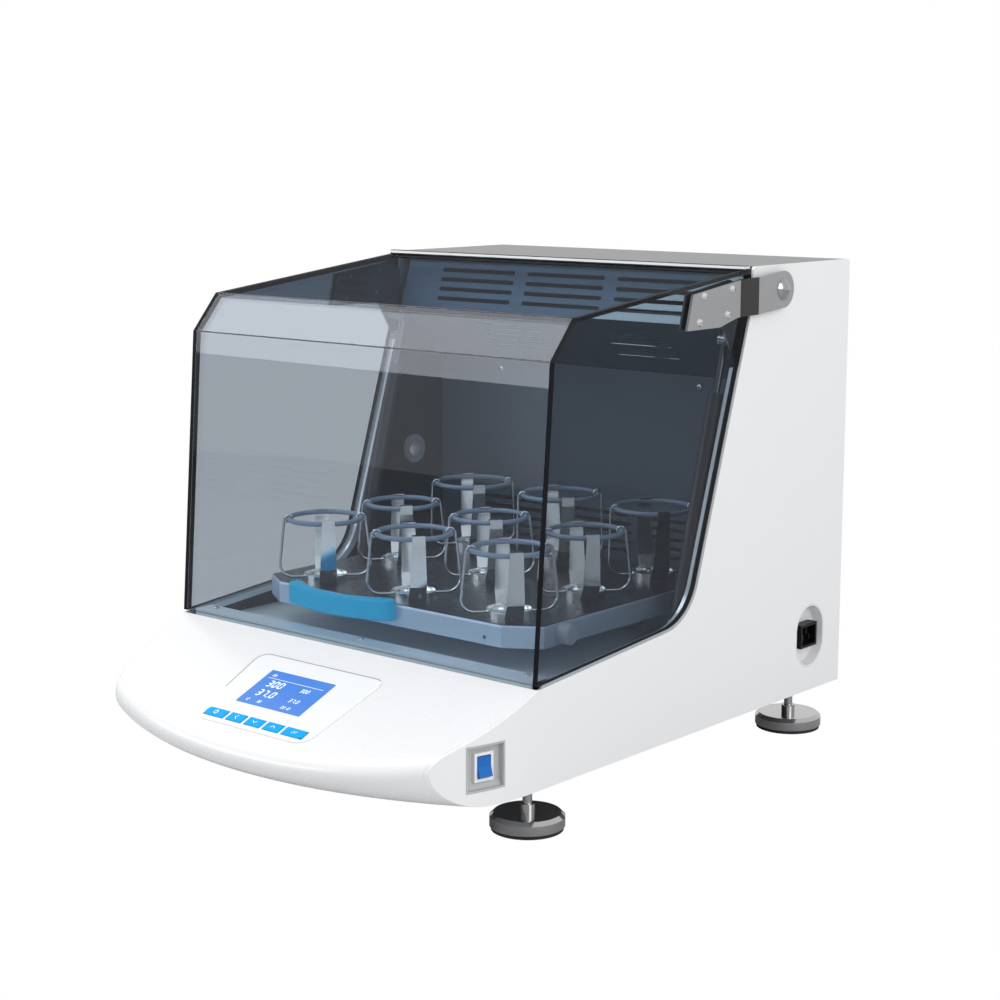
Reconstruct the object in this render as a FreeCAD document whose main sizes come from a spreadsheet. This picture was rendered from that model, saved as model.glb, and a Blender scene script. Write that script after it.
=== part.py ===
import FreeCAD, Part
import math
import os
import Sketcher

V = FreeCAD.Vector
doc = FreeCAD.newDocument("IncubatedShaker")

# Frame: X to the machine's right, Y to its back, Z up, floor at zero.
# All lengths are in millimetres and all angles in degrees. A name in _back runs from
# the cabinet's back, in _drop from its top, in _inset from a side, and in _setback
# from the line where the hood meets the deck, or the tray's front edge for the knob.
LENGTHS = [
    # cabinet
    ("body_width", 530.0), ("body_depth", 740.0), ("body_top", 559.0), ("body_under", 57.0),
    ("panel_thick", 3.0), ("cover_thick", 2.0), ("sheet_thick", 1.5), ("fit_gap", 0.3),
    ("cover_fore_back", 196.0), ("cover_lip", 9.0), ("pan_depth", 26.0),
    # front moulding
    ("hood_setback", 174.0), ("deck_top", 160.0), ("toe_clear", 41.0), ("deck_wall", 3.0),
    ("bow_radius", 531.0), ("ring_band", 231.0), ("nose_radius", 42.0), ("nose_height", 99.0),
    ("crest_radius", 16.0), ("nose_proud", 6.7), ("curve_radius", 220.0), ("curve_start", 160.0),
    # window edge of the side panels
    ("window_back", 294.0), ("window_z", 228.0), ("window_top_drop", 39.0),
    ("corner_radius", 65.0), ("seal_gap", 3.0), ("seal_high", 2.4), ("seal_top_drop", 109.0),
    ("seal_back", 5.0), ("trim_high", 5.0), ("trim_deep", 12.0), ("trim_wide", 7.5),
    ("trim_end", 15.0),
    # chamber
    ("liner_inset", 14.0), ("floor_top", 150.0), ("ledge_top", 165.0), ("ledge_setback", 31.0),
    ("floor_setback", 46.0), ("ledge_lip", 25.0), ("wall_back", 135.0),
    ("soffit_fore_back", 211.0), ("soffit_top_drop", 67.0), ("soffit_low_drop", 134.0),
    ("vent_tall", 64.0), ("plate_side", 0.2), ("vent_slot_long", 117.0), ("vent_slot_high", 5.0),
    ("vent_pitch_x", 135.0), ("vent_pitch_z", 12.0), ("vent_first_z", 12.0), ("louvre_long", 90.0),
    ("louvre_high", 3.0), ("louvre_pitch_x", 188.0), ("louvre_pitch_y", 11.0),
    ("louvre_first", 26.0), ("grille_long", 110.0), ("grille_high", 5.0),
    ("grille_pitch_x", 140.0), ("grille_pitch_z", 11.0), ("grille_first", 206.0),
    # access port
    ("port_back", 191.0), ("port_z", 309.0), ("port_bore", 9.5), ("port_tube", 14.0),
    ("port_flange", 18.0), ("port_flange_thick", 4.0),
    # levelling feet
    ("foot_inset", 43.0), ("foot_setback", 35.0), ("foot_rear_back", 41.0), ("foot_radius", 39.0),
    ("foot_rubber", 4.0), ("foot_high", 18.0), ("foot_round", 4.0), ("foot_stem", 5.0),
    ("foot_neck", 8.0), ("foot_neck_high", 9.0), ("foot_stem_top", 72.0), ("nut_across", 19.0),
    ("nut_high", 8.0),
    # hood
    ("hood_inset", 1.5), ("pane_thick", 6.0), ("chamfer_low_setback", 25.0),
    ("chamfer_low_drop", 77.0), ("chamfer_top_setback", 60.0), ("chamfer_top_drop", 36.0),
    ("hood_rear_back", 209.0), ("hood_top_drop", 2.5), ("rail_deep", 11.0), ("rail_back", 3.6),
    ("rail_rise", 4.0),
    # hood arms
    ("pivot_back", 155.0), ("pivot_drop", 26.5), ("arm_thick", 3.0), ("arm_offset", 8.5),
    ("arm_tip_back", 325.0), ("arm_tip_drop", 61.5), ("arm_nose_back", 315.0),
    ("arm_nose_drop", 24.0), ("arm_knee_back", 265.0), ("arm_bend_back", 223.0),
    ("arm_bend_drop", 12.5), ("arm_low_back", 233.0), ("arm_low_drop", 53.5),
    ("joggle_deep", 17.0), ("arm_end", 20.5), ("pivot_pin", 5.0), ("pivot_boss", 10.0),
    ("pivot_dome", 12.0), ("dome_sphere", 16.9), ("tail_tip_back", 219.0), ("tail_tip_drop", 99.0),
    ("tail_half", 5.0), ("tail_fore_back", 248.0), ("tail_rear_back", 207.0),
    ("tail_rear_drop", 54.0),
    # screws
    ("screw_shank", 2.0), ("screw_head", 4.6), ("screw_dome", 2.6), ("screw_rear_back", 243.0),
    ("screw_fore_back", 295.0), ("screw_fore_drop", 27.0), ("screw_rear_drop", 22.0),
    ("screw_slip", 8.0), ("screw_drop", 27.0),
    # gas struts
    ("strut_inset", 25.0), ("strut_low_back", 300.0), ("strut_low_z", 175.0),
    ("strut_high_back", 217.0), ("strut_high_drop", 81.0), ("strut_radius", 8.0),
    ("rod_bare", 58.2), ("rod_radius", 4.0), ("rod_start", 60.0), ("eye_radius", 7.0),
    ("eye_wide", 11.4), ("eye_neck", 10.0), ("strut_pin", 4.0), ("run_gap", 0.05),
    ("stud_radius", 5.0), ("skin_head", 1.5),
    # platform
    ("tray_inset", 47.0), ("tray_setback", 59.0), ("tray_gap", 28.0), ("tray_top", 200.0),
    ("tray_skin", 3.0), ("tray_flange", 24.0), ("tray_wall", 2.5), ("tray_corner_x", 38.0),
    ("tray_corner_y", 24.0), ("tray_round", 3.0), ("hole_radius", 2.2), ("hole_inset_x", 22.0),
    ("hole_inset_y", 29.0), ("flange_hole_x", 143.0), ("flange_hole", 2.2),
    ("flange_hole_z", 184.0), ("handle_shift", 62.0), ("handle_span", 156.0), ("handle_bow", 28.0),
    ("handle_end", 12.0), ("handle_corner", 10.0), ("grip_span", 131.0), ("grip_bow", 19.0),
    ("handle_low", 182.0), ("handle_high", 205.5), ("handle_round", 3.0), ("knob_setback", 53.0),
    ("knob_z", 188.0), ("knob_radius", 11.0), ("knob_long", 15.0), ("knob_stem", 4.0),
    ("knob_nut", 8.0), ("knob_nut_thick", 3.5), ("knob_round", 2.0),
    # flask clamps
    ("clamp_inset_x", 66.0), ("clamp_inset_y", 44.0), ("clamp_back", 8.0), ("strap_foot", 27.0),
    ("strap_bend_x", 39.0), ("strap_bend_z", 17.0), ("strap_thick", 1.4), ("strap_wide", 20.0),
    ("strap_tip", 14.0), ("clamp_high", 70.0), ("clamp_ring", 41.0), ("rear_ring", 45.0),
    ("rear_high", 79.0), ("ring_tube", 2.8), ("hook_in", 6.0), ("wire_radius", 1.5),
    ("wire_bulge", 52.0), ("wire_bend", 15.0), ("dish_radius", 25.0), ("dish_rim", 6.0),
    # orbital drive
    ("orbit_radius", 9.5), ("crank_shaft", 10.0), ("crank_disc", 26.0), ("crank_thick", 10.0),
    ("crank_lift", 2.0), ("crank_pin", 6.0), ("pin_top", 186.0), ("shaft_low", 76.0),
    ("shaft_hole", 14.0), ("boss_radius", 15.0), ("boss_low", 170.0), ("bore_top", 189.0),
    ("housing_radius", 24.0), ("housing_low", 104.0), ("housing_flange", 36.0),
    ("housing_plate", 8.0), ("pulley_radius", 60.0), ("pulley_low", 84.0), ("pulley_wide", 14.0),
    ("motor_pulley_radius", 24.0), ("motor_back", 150.0), ("motor_radius", 38.0),
    ("motor_low", 104.0), ("motor_shaft", 5.0), ("motor_shaft_low", 80.0), ("belt_thick", 2.5),
    ("belt_wide", 10.0), ("idler_x", 135.0), ("idler_back", 70.0), ("idler_shaft", 7.0),
    ("idler_disc", 22.0), ("housing_under", 98.0),
    # circulation fan
    ("fan_back", 85.0), ("fan_drop", 69.0), ("fan_radius", 32.0), ("fan_inset", 96.7),
    ("fan_bore", 24.0), ("fan_motor_radius", 28.0), ("fan_motor_long", 62.0), ("fan_shaft", 5.0),
    ("fan_web", 4.0), ("fan_blade", 3.0), ("fan_end", 10.0),
    # control deck, measured down the slope from the hood
    ("overlay_thick", 1.2), ("overlay_from", 37.0), ("overlay_to", 157.0), ("overlay_top", 186.0),
    ("overlay_foot", 166.0), ("overlay_corner", 14.0), ("overlay_foot_round", 20.0),
    ("screen_from", 62.0), ("screen_long", 58.0), ("screen_wide", 94.0), ("screen_thick", 2.0),
    ("screen_shift", 6.0), ("key_from", 138.0), ("key_long", 12.5), ("key_wide", 23.0),
    ("key_pitch", 27.5), ("key_high", 2.4), ("key_gap", 0.4), ("key_well", 1.6),
    ("key_end_long", 30.0), ("key_end_round", 5.5), ("key_round", 1.0),
    # power switch
    ("switch_back", 104.0), ("switch_z", 96.5), ("switch_wide", 42.0), ("switch_tall", 43.0),
    ("switch_deep", 8.0), ("switch_wall", 2.0), ("bezel_wide", 22.0), ("bezel_tall", 29.0),
    ("bezel_frame", 3.0), ("rocker_high", 4.0), ("rocker_gap", 0.4), ("rocker_pin", 1.2),
    ("switch_lip", 10.0), ("switch_margin", 12.0),
    # mains inlet
    ("inlet_back", 66.0), ("inlet_z", 123.0), ("inlet_wide", 56.0), ("inlet_tall", 71.0),
    ("inlet_deep", 14.0), ("inlet_wall", 2.0), ("socket_wide", 34.0), ("socket_tall", 28.0),
    ("socket_deep", 13.0), ("socket_wall", 3.0), ("socket_back", 6.0), ("socket_lug", 2.0),
    ("socket_lug_wide", 6.0),
    # louvres of the back panel
    ("back_slot_long", 70.0), ("back_slot_high", 4.0), ("back_pitch_x", 90.0),
    ("back_pitch_z", 12.0), ("back_slot_drop", 179.0),
]
# How many there are of each thing that repeats
HOLE_COLUMNS = 15
HOLE_ROWS = 12
BACK_COLUMNS = 4
BACK_ROWS = 8
GRILLE_COLUMNS = 3
GRILLE_ROWS = 5
LOUVRE_COLUMNS = 2
LOUVRE_ROWS = 5
VENT_COLUMNS = 3
VENT_ROWS = 4
BLADES = 16
ANGLES = [
    ("deck_tilt", 22.0), ("window_lean", 17.8), ("sill_rise", 5.0), ("curve_sweep", 34.0),
    ("clamp_turn", 40.0), ("rocker_rest", 9.0),
]

sheet = doc.addObject("Spreadsheet::Sheet", "Sizes")
NUMBERS = {}
for row, (alias, value) in enumerate(LENGTHS + ANGLES, start=1):
    sheet.set("A%d" % row, alias)
    sheet.set("B%d" % row, "%s" % value)
    sheet.setAlias("B%d" % row, alias)
    NUMBERS[alias] = value
doc.recompute()


class Size:
    """A length or angle: its formula in the sheet's names, and its value now."""

    def __init__(self, text, value):
        self.text = text
        self.value = value

    def _join(self, other, sign, value):
        return Size("(%s %s %s)" % (self.text, sign, other.text), value)

    def __add__(self, other):
        other = size(other)
        return self._join(other, "+", self.value + other.value)

    def __radd__(self, other):
        return size(other) + self

    def __sub__(self, other):
        other = size(other)
        return self._join(other, "-", self.value - other.value)

    def __rsub__(self, other):
        return size(other) - self

    def __mul__(self, other):
        other = size(other)
        return self._join(other, "*", self.value * other.value)

    def __rmul__(self, other):
        return size(other) * self

    def __truediv__(self, other):
        other = size(other)
        return self._join(other, "/", self.value / other.value)

    def __neg__(self):
        return Size("(-1 * %s)" % self.text, -self.value)


def size(item):
    if isinstance(item, Size):
        return item
    if isinstance(item, str):
        return Size("Sizes.%s" % item, NUMBERS[item])
    return Size(repr(item), float(item))


def tangent(angle):
    return Size("tan(%s)" % angle.text, math.tan(math.radians(angle.value)))


def cosine(angle):
    return Size("cos(%s)" % angle.text, math.cos(math.radians(angle.value)))


def sine(angle):
    return Size("sin(%s)" % angle.text, math.sin(math.radians(angle.value)))


def root(item):
    return Size("sqrt(%s)" % item.text, math.sqrt(item.value))


def slope_angle(rise, run):
    ratio = rise / run
    return Size("atan(%s)" % ratio.text, math.degrees(math.atan(ratio.value)))


def bind(item, prop, amount):
    amount = size(amount)
    if "Sizes." in amount.text:
        item.setExpression(prop, amount.text)


def place(item, x=0, y=0, z=0, axis=None, angle=0):
    spot = [size(x), size(y), size(z)]
    angle = size(angle)
    turn = FreeCAD.Rotation()
    if axis is not None:
        turn = FreeCAD.Rotation(axis, angle.value if angle.value else 1.0)
    item.Placement = FreeCAD.Placement(V(spot[0].value, spot[1].value, spot[2].value), turn)
    for name, amount in zip("xyz", spot):
        bind(item, "Placement.Base.%s" % name, amount)
    if axis is not None:
        bind(item, "Placement.Rotation.Angle", angle)
    return item


def box(name, x, y, z, long_x, long_y, long_z):
    item = doc.addObject("Part::Box", name)
    for prop, amount in (("Length", long_x), ("Width", long_y), ("Height", long_z)):
        setattr(item, prop, size(amount).value)
        bind(item, prop, amount)
    return place(item, x, y, z)


def rod(name, x, y, z, radius, length, along="z"):
    """A cylinder from the given point along +X, +Y or +Z."""
    item = doc.addObject("Part::Cylinder", name)
    item.Radius = size(radius).value
    item.Height = size(length).value
    bind(item, "Radius", radius)
    bind(item, "Height", length)
    place(item, x, y, z)
    if along == "x":
        item.Placement.Rotation = FreeCAD.Rotation(V(0, 1, 0), 90)
    if along == "y":
        item.Placement.Rotation = FreeCAD.Rotation(V(1, 0, 0), -90)
    return item


def cut(name, base, tool):
    item = doc.addObject("Part::Cut", name)
    item.Base = base
    item.Tool = tool
    return item


def common(name, base, tool):
    item = doc.addObject("Part::Common", name)
    item.Base = base
    item.Tool = tool
    return item


def fuse(name, pieces):
    item = doc.addObject("Part::MultiFuse", name)
    item.Shapes = pieces
    return item


def group(name, pieces):
    item = doc.addObject("Part::Compound", name)
    item.Links = pieces
    return item


def mirror(name, source):
    """The same piece on the machine's left."""
    item = doc.addObject("Part::Mirroring", name)
    item.Source = source
    item.Normal = V(1, 0, 0)
    return item


def copies(name, source, places):
    """The source at each (x, y, z, axis, angle), as separate solids."""
    links = []
    for count, spot in enumerate(places):
        link = doc.addObject("App::Link", "%s_at_%d" % (name, count + 1))
        link.LinkedObject = source
        link.LinkTransform = True
        place(link, *spot)
        links.append(link)
    return group(name, links)


def origin_plane(body, role):
    return [part for part in body.Origin.OriginFeatures if part.Role == role][0]


def new_sketch(body, name, role, start=0):
    sketch = body.newObject("Sketcher::SketchObject", name)
    sketch.AttachmentSupport = [(origin_plane(body, role), "")]
    sketch.MapMode = "FlatFace"
    start = size(start)
    if start.text != "0":
        sketch.AttachmentOffset = FreeCAD.Placement(V(0, 0, start.value), FreeCAD.Rotation())
        bind(sketch, "AttachmentOffset.Base.z", start)
    return sketch


def pin_down(sketch, kind, edge, end, amount):
    amount = size(amount)
    index = sketch.addConstraint(Sketcher.Constraint(kind, -1, 1, edge, end, amount.value))
    bind(sketch, "Constraints[%d]" % index, amount)


def draw_loop(sketch, loop, closed=True):
    """Corners are (u, v) or (u, v, arc), the arc running to the next corner.

    An arc is (which, amount, centre_u, centre_v, counter_clockwise), where which
    is u or v for a centre held at that amount, or r for a radius of that amount.
    """
    first = sketch.GeometryCount
    spots = [(size(corner[0]), size(corner[1])) for corner in loop]
    arcs = {}
    total = len(loop) if closed else len(loop) - 1
    for step in range(total):
        here = V(spots[step][0].value, spots[step][1].value, 0)
        after = spots[(step + 1) % len(loop)]
        there = V(after[0].value, after[1].value, 0)
        if len(loop[step]) == 2:
            sketch.addGeometry(Part.LineSegment(here, there))
            continue
        which, amount, centre_u, centre_v, turning = loop[step][2]
        middle = V(size(centre_u).value, size(centre_v).value, 0)
        begin = math.atan2(here.y - middle.y, here.x - middle.x)
        finish = math.atan2(there.y - middle.y, there.x - middle.x)
        if not turning:
            begin, finish = finish, begin
        circle = Part.Circle(middle, V(0, 0, 1), here.distanceToPoint(middle))
        sketch.addGeometry(Part.ArcOfCircle(circle, begin, finish))
        arcs[step] = turning
    for step in range(total):
        edge = first + step
        head = 1 if arcs.get(step, True) else 2
        tail = 3 - head
        pin_down(sketch, "DistanceX", edge, head, spots[step][0])
        pin_down(sketch, "DistanceY", edge, head, spots[step][1])
        after = (step + 1) % len(loop)
        if after < total:
            next_head = 1 if arcs.get(after, True) else 2
            sketch.addConstraint(
                Sketcher.Constraint("Coincident", edge, tail, first + after, next_head))
        else:
            pin_down(sketch, "DistanceX", edge, tail, spots[after][0])
            pin_down(sketch, "DistanceY", edge, tail, spots[after][1])
        if step in arcs:
            which, amount = loop[step][2][:2]
            amount = size(amount)
            if which == "r":
                index = sketch.addConstraint(
                    Sketcher.Constraint("Radius", edge, amount.value))
                bind(sketch, "Constraints[%d]" % index, amount)
            else:
                kind = "DistanceX" if which == "u" else "DistanceY"
                pin_down(sketch, kind, edge, 3, amount)


def draw_circle(sketch, u, v, radius):
    spot = (size(u), size(v))
    edge = sketch.GeometryCount
    sketch.addGeometry(
        Part.Circle(V(spot[0].value, spot[1].value, 0), V(0, 0, 1), size(radius).value))
    pin_down(sketch, "DistanceX", edge, 3, spot[0])
    pin_down(sketch, "DistanceY", edge, 3, spot[1])
    index = sketch.addConstraint(Sketcher.Constraint("Radius", edge, size(radius).value))
    bind(sketch, "Constraints[%d]" % index, radius)


def pill(u, v, long_u, long_v):
    """A slot with round ends about (u, v); the longer side is straight."""
    u, v, long_u, long_v = size(u), size(v), size(long_u), size(long_v)
    if long_u.value > long_v.value:
        half = (long_u - long_v) / 2
        return [
            (u - half, v - long_v / 2),
            (u + half, v - long_v / 2, ("u", u + half, u + half, v, True)),
            (u + half, v + long_v / 2),
            (u - half, v + long_v / 2, ("u", u - half, u - half, v, True)),
        ]
    half = (long_v - long_u) / 2
    return [
        (u + long_u / 2, v - half),
        (u + long_u / 2, v + half, ("v", v + half, u, v + half, True)),
        (u - long_u / 2, v + half),
        (u - long_u / 2, v - half, ("v", v - half, u, v - half, True)),
    ]


ROLES = {"x": "YZ_Plane", "y": "XZ_Plane", "z": "XY_Plane"}


def slab(name, along, loops, start, thick, circles=()):
    """A flat piece: its outline drawn across one axis and given its thickness."""
    body = doc.addObject("PartDesign::Body", name)
    start = size(start)
    thick = size(thick)
    if along == "y":
        sketch = new_sketch(body, name + "_outline", ROLES[along], -(start + thick))
    else:
        sketch = new_sketch(body, name + "_outline", ROLES[along], start)
    for loop in loops:
        draw_loop(sketch, loop)
    for circle in circles:
        draw_circle(sketch, *circle)
    pad = body.newObject("PartDesign::Pad", name + "_pad")
    pad.Profile = sketch
    pad.Length = thick.value
    bind(pad, "Length", thick)
    return body


def round_edges(body, radius, test):
    """Fillet the body's edges whose midpoint and direction pass the test."""
    doc.recompute()
    names = []
    for count, edge in enumerate(body.Tip.Shape.Edges, start=1):
        middle = edge.valueAt((edge.FirstParameter + edge.LastParameter) / 2)
        way = edge.tangentAt((edge.FirstParameter + edge.LastParameter) / 2)
        if test(middle, way):
            names.append("Edge%d" % count)
    if not names:
        raise RuntimeError("no edge to round on %s" % body.Name)
    base = body.Tip
    item = body.newObject("PartDesign::Fillet", body.Name + "_round_%d" % len(body.Group))
    item.Base = (base, names)
    item.Radius = size(radius).value
    bind(item, "Radius", radius)
    return body


def near(one, other):
    return abs(one - size(other).value) < 0.01


def slot_rows(body, name, along, first, across, count_u, pitch_u, count_v, pitch_v):
    """Cut a field of round-ended slots right through the body."""
    sketch = new_sketch(body, name + "_slot", ROLES[along])
    draw_loop(sketch, pill(first[0], first[1], across[0], across[1]))
    pocket = body.newObject("PartDesign::Pocket", name + "_cut")
    pocket.Profile = sketch
    pocket.Type = 1
    pocket.Midplane = True
    doc.recompute()
    field = body.newObject("PartDesign::MultiTransform", name + "_field")
    field.Originals = [pocket]
    rows = []
    for way, count, pitch in (("H_Axis", count_u, pitch_u), ("V_Axis", count_v, pitch_v)):
        if count > 1:
            row = body.newObject("PartDesign::LinearPattern", "%s_%s" % (name, way))
            row.Direction = (sketch, [way])
            row.Occurrences = count
            row.Length = size(pitch).value * (count - 1)
            bind(row, "Length", size(pitch) * (count - 1))
            rows.append(row)
    field.Transformations = rows
    body.Tip = field
    return body


def turned(name, profile, centre=(0, 0, 0), axis=None, angle=0):
    """A solid of revolution about the vertical, its half section drawn in X and Z."""
    body = doc.addObject("PartDesign::Body", name)
    sketch = new_sketch(body, name + "_section", "XZ_Plane")
    draw_loop(sketch, profile)
    spin = body.newObject("PartDesign::Revolution", name + "_turn")
    spin.Profile = sketch
    spin.ReferenceAxis = (sketch, ["V_Axis"])
    spin.Angle = 360
    place(body, *centre, axis=axis, angle=angle)
    return body


NODES = {}


def node(label, item):
    item.Label = label
    NODES[label] = item
    return item


# Common positions
half_body = size("body_width") / 2
rear_y = size("body_depth") / 2
front_y = -(size("body_depth") / 2)
hood_line = front_y + size("hood_setback")
inner_side = half_body - size("panel_thick")
bow_y = front_y + size("bow_radius") - size("nose_proud")
curve_y = front_y + size("curve_start")
curve_x = half_body - size("curve_radius")
deck_slope = tangent(size("deck_tilt"))
lean_slope = tangent(size("window_lean"))
sill_slope = tangent(size("sill_rise"))
window_y = rear_y - size("window_back")
pivot_y = rear_y - size("pivot_back")
arm_front = rear_y - size("arm_tip_back")
arm_nose_y = rear_y - size("arm_nose_back")
arm_knee_y = rear_y - size("arm_knee_back")
arm_bend_y = rear_y - size("arm_bend_back")
arm_low_y = rear_y - size("arm_low_back")
tail_tip_y = rear_y - size("tail_tip_back")
tail_front_y = rear_y - size("tail_fore_back")
tail_back_y = rear_y - size("tail_rear_back")
screw_rear_y = rear_y - size("screw_rear_back")
screw_front_y = rear_y - size("screw_fore_back")
strut_low_y = rear_y - size("strut_low_back")
strut_high_y = rear_y - size("strut_high_back")
hood_rear = rear_y - size("hood_rear_back")
cover_front = rear_y - size("cover_fore_back")
wall_y = rear_y - size("wall_back")
soffit_front = rear_y - size("soffit_fore_back")
port_y = rear_y - size("port_back")
fan_y = rear_y - size("fan_back")
inlet_y = rear_y - size("inlet_back")
foot_rear = rear_y - size("foot_rear_back")
window_top = size("body_top") - size("window_top_drop")
seal_top = size("body_top") - size("seal_top_drop")
soffit_top = size("body_top") - size("soffit_top_drop")
soffit_bottom = size("body_top") - size("soffit_low_drop")
chamfer_low_z = size("body_top") - size("chamfer_low_drop")
chamfer_top_z = size("body_top") - size("chamfer_top_drop")
hood_top = size("body_top") - size("hood_top_drop")
pivot_z = size("body_top") - size("pivot_drop")
arm_front_low = size("body_top") - size("arm_tip_drop")
arm_nose_z = size("body_top") - size("arm_nose_drop")
arm_bend_z = size("body_top") - size("arm_bend_drop")
arm_low_z = size("body_top") - size("arm_low_drop")
tail_tip_z = size("body_top") - size("tail_tip_drop")
tail_back_z = size("body_top") - size("tail_rear_drop")
screw_front_high = size("body_top") - size("screw_fore_drop")
screw_rear_high = size("body_top") - size("screw_rear_drop")
strut_high_z = size("body_top") - size("strut_high_drop")
fan_z = size("body_top") - size("fan_drop")
back_first_z = size("body_top") - size("back_slot_drop")
liner_inner = half_body - size("liner_inset")
strut_x = half_body - size("strut_inset")
foot_side = half_body - size("foot_inset")
tray_x = liner_inner - size("tray_inset")
tray_front = hood_line + size("tray_setback")
tray_back = wall_y - size("tray_gap")
tray_y = (tray_back - tray_front) / 2
tray_rest_y = (tray_back + tray_front) / 2


def window_at(height, ahead=0):
    """Y of the window edge at a height, moved ahead of it by a distance."""
    return window_y + lean_slope * (size(height) - size("window_z")) - size(ahead)


def sill_at(y, above=0):
    return size("deck_top") + sill_slope * (size(y) - hood_line) + size(above)


def window_corner(ahead, above):
    """Where the leaning edge and the sill meet, each moved into the window."""
    top = (window_y - size(ahead)
           + lean_slope * (size("deck_top") - sill_slope * hood_line
                           + size(above) - size("window_z")))
    y = top / (1 - lean_slope * sill_slope)
    return (y, sill_at(y, above))


# Outer form of the front moulding: a bowed nose turned about a vertical axis, cut
# by the sloping control deck, with the crest between them rounded.
def moulding(name, wall):
    wall = size(wall)
    inner = size("bow_radius") - size("ring_band")
    outer = size("bow_radius") - wall
    centre = size("bow_radius") - size("nose_radius")
    roof = size("deck_top") + size("nose_radius")
    ring = turned(name + "_ring", [
        (inner, size("body_under") + wall),
        (centre, size("body_under") + wall, ("u", centre, centre, size("nose_height"), True)),
        (outer, size("nose_height")),
        (outer, roof),
        (inner, roof),
    ], (0, bow_y, 0))
    back = hood_line + wall * 2
    fall = wall / cosine(size("deck_tilt"))
    crest = size("deck_top") - fall - deck_slope * (back - hood_line)
    toe = front_y - size("toe_clear")
    wedge = slab(name + "_wedge", "x", [[
        (back, 0),
        (back, crest),
        (toe, size("deck_top") - fall - deck_slope * (hood_line - toe)),
        (toe, 0),
    ]], -half_body, size("body_width"))
    return common(name, ring, wedge)


def rounded_moulding(name, wall):
    """The moulding's form with the edge between deck and nose rounded."""
    wall = size(wall)
    form = moulding(name, wall)
    doc.recompute()
    radius = size("crest_radius") - wall
    fall = (wall / cosine(size("deck_tilt"))).value
    reach = size("bow_radius").value - size("crest_radius").value - wall.value
    edges = []
    for count, edge in enumerate(form.Shape.Edges, start=1):
        middle = edge.valueAt((edge.FirstParameter + edge.LastParameter) / 2)
        plane = size("deck_top").value + deck_slope.value * (middle.y - hood_line.value)
        off_axis = math.hypot(middle.x, middle.y - bow_y.value)
        if abs(middle.z - plane + fall) < wall.value / 2 + 0.3 and off_axis > reach:
            edges.append((count, radius.value, radius.value))
    item = doc.addObject("Part::Fillet", name + "_crest")
    item.Base = form
    item.Edges = edges
    doc.recompute()
    return item


crest = rounded_moulding("outer_form", 0)

# Side of the cabinet seen square on, behind the moulding
cabinet_side = slab("cabinet_side", "x", [[
    (hood_line, "body_under"),
    (rear_y, "body_under"),
    (rear_y, "body_top"),
    (window_at(window_top), "body_top"),
    (window_at(window_top), window_top),
    window_corner(0, 0),
    (hood_line, "deck_top"),
]], -half_body, size("body_width"))
corner_y, corner_z = window_corner(0, 0)
round_edges(cabinet_side, "corner_radius",
            lambda p, w: near(p.y, corner_y) and near(p.z, corner_z) and abs(w.x) > 0.9)
round_edges(cabinet_side, "foot_round",
            lambda p, w: abs(w.x) > 0.9 and near(p.z, "body_top"))
silhouette = fuse("cabinet_silhouette", [cabinet_side, crest])


# Plan of a side panel: straight beside the chamber, then curving in to the nose
def side_plan(name, depth_in, thick, low, high):
    outer = size("curve_radius") - size(depth_in)
    inner = outer - size(thick)
    sweep = size("curve_sweep")
    end_x = cosine(sweep)
    end_y = sine(sweep)
    return slab(name, "z", [[
        (curve_x + inner, rear_y),
        (curve_x + inner, curve_y,
         ("u", curve_x, curve_x, curve_y, False)),
        (curve_x + inner * end_x, curve_y - inner * end_y),
        (curve_x + outer * end_x, curve_y - outer * end_y,
         ("u", curve_x, curve_x, curve_y, True)),
        (curve_x + outer, curve_y),
        (curve_x + outer, rear_y),
    ]], low, size(high) - size(low))


panel_plan = side_plan("panel_plan", 0, "panel_thick", 0, "body_top")
panel_blank = common("panel_blank", panel_plan, silhouette)

# Recess for the power switch, set square to the curved side
switch_y = front_y + size("switch_back")
switch_run = curve_y - switch_y
switch_x = curve_x + root(size("curve_radius") * size("curve_radius") - switch_run * switch_run)
switch_turn = slope_angle(switch_run, switch_x - curve_x)


def switch_box(name, grow, deep):
    """A block on the switch's own axes, its outer end past the panel."""
    grow = size(grow)
    item = box(name, 0, 0, 0, size(deep) + size("switch_margin"),
               size("switch_wide") + grow * 2, size("switch_tall") + grow * 2)
    half = size("switch_wide") / 2 + grow
    place(item,
          switch_x - size(deep) * cosine(switch_turn) - half * sine(switch_turn),
          switch_y + size(deep) * sine(switch_turn) - half * cosine(switch_turn),
          size("switch_z") - size("switch_tall") / 2 - grow,
          V(0, 0, 1), -switch_turn)
    return item


switch_hole = switch_box("switch_hole", "switch_wall", size("switch_deep") + size("switch_wall"))
inlet_hole = slab("inlet_hole", "x",
                  [pill(inlet_y, "inlet_z", size("inlet_wide") + size("inlet_wall") * 2,
                        size("inlet_tall") + size("inlet_wall") * 2)],
                  inner_side - size("inlet_deep"), size("inlet_deep") + size("panel_thick") * 2)
right_cut = cut("right_cut", panel_blank, switch_hole)
node("side_panel_right", cut("side_panel_right", right_cut, inlet_hole))

left_blank = mirror("left_blank", panel_blank)
port_hole = rod("port_hole", -half_body - size("panel_thick"), port_y, "port_z",
                "port_tube", size("panel_thick") * 3, "x")
node("side_panel_left", cut("side_panel_left", left_blank, port_hole))

# Front moulding: the outer form hollowed, trimmed to the side panels
inner_form = rounded_moulding("inner_form", "deck_wall")
side_blank_reach = size("curve_radius") - size("panel_thick") - size("fit_gap")


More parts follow.
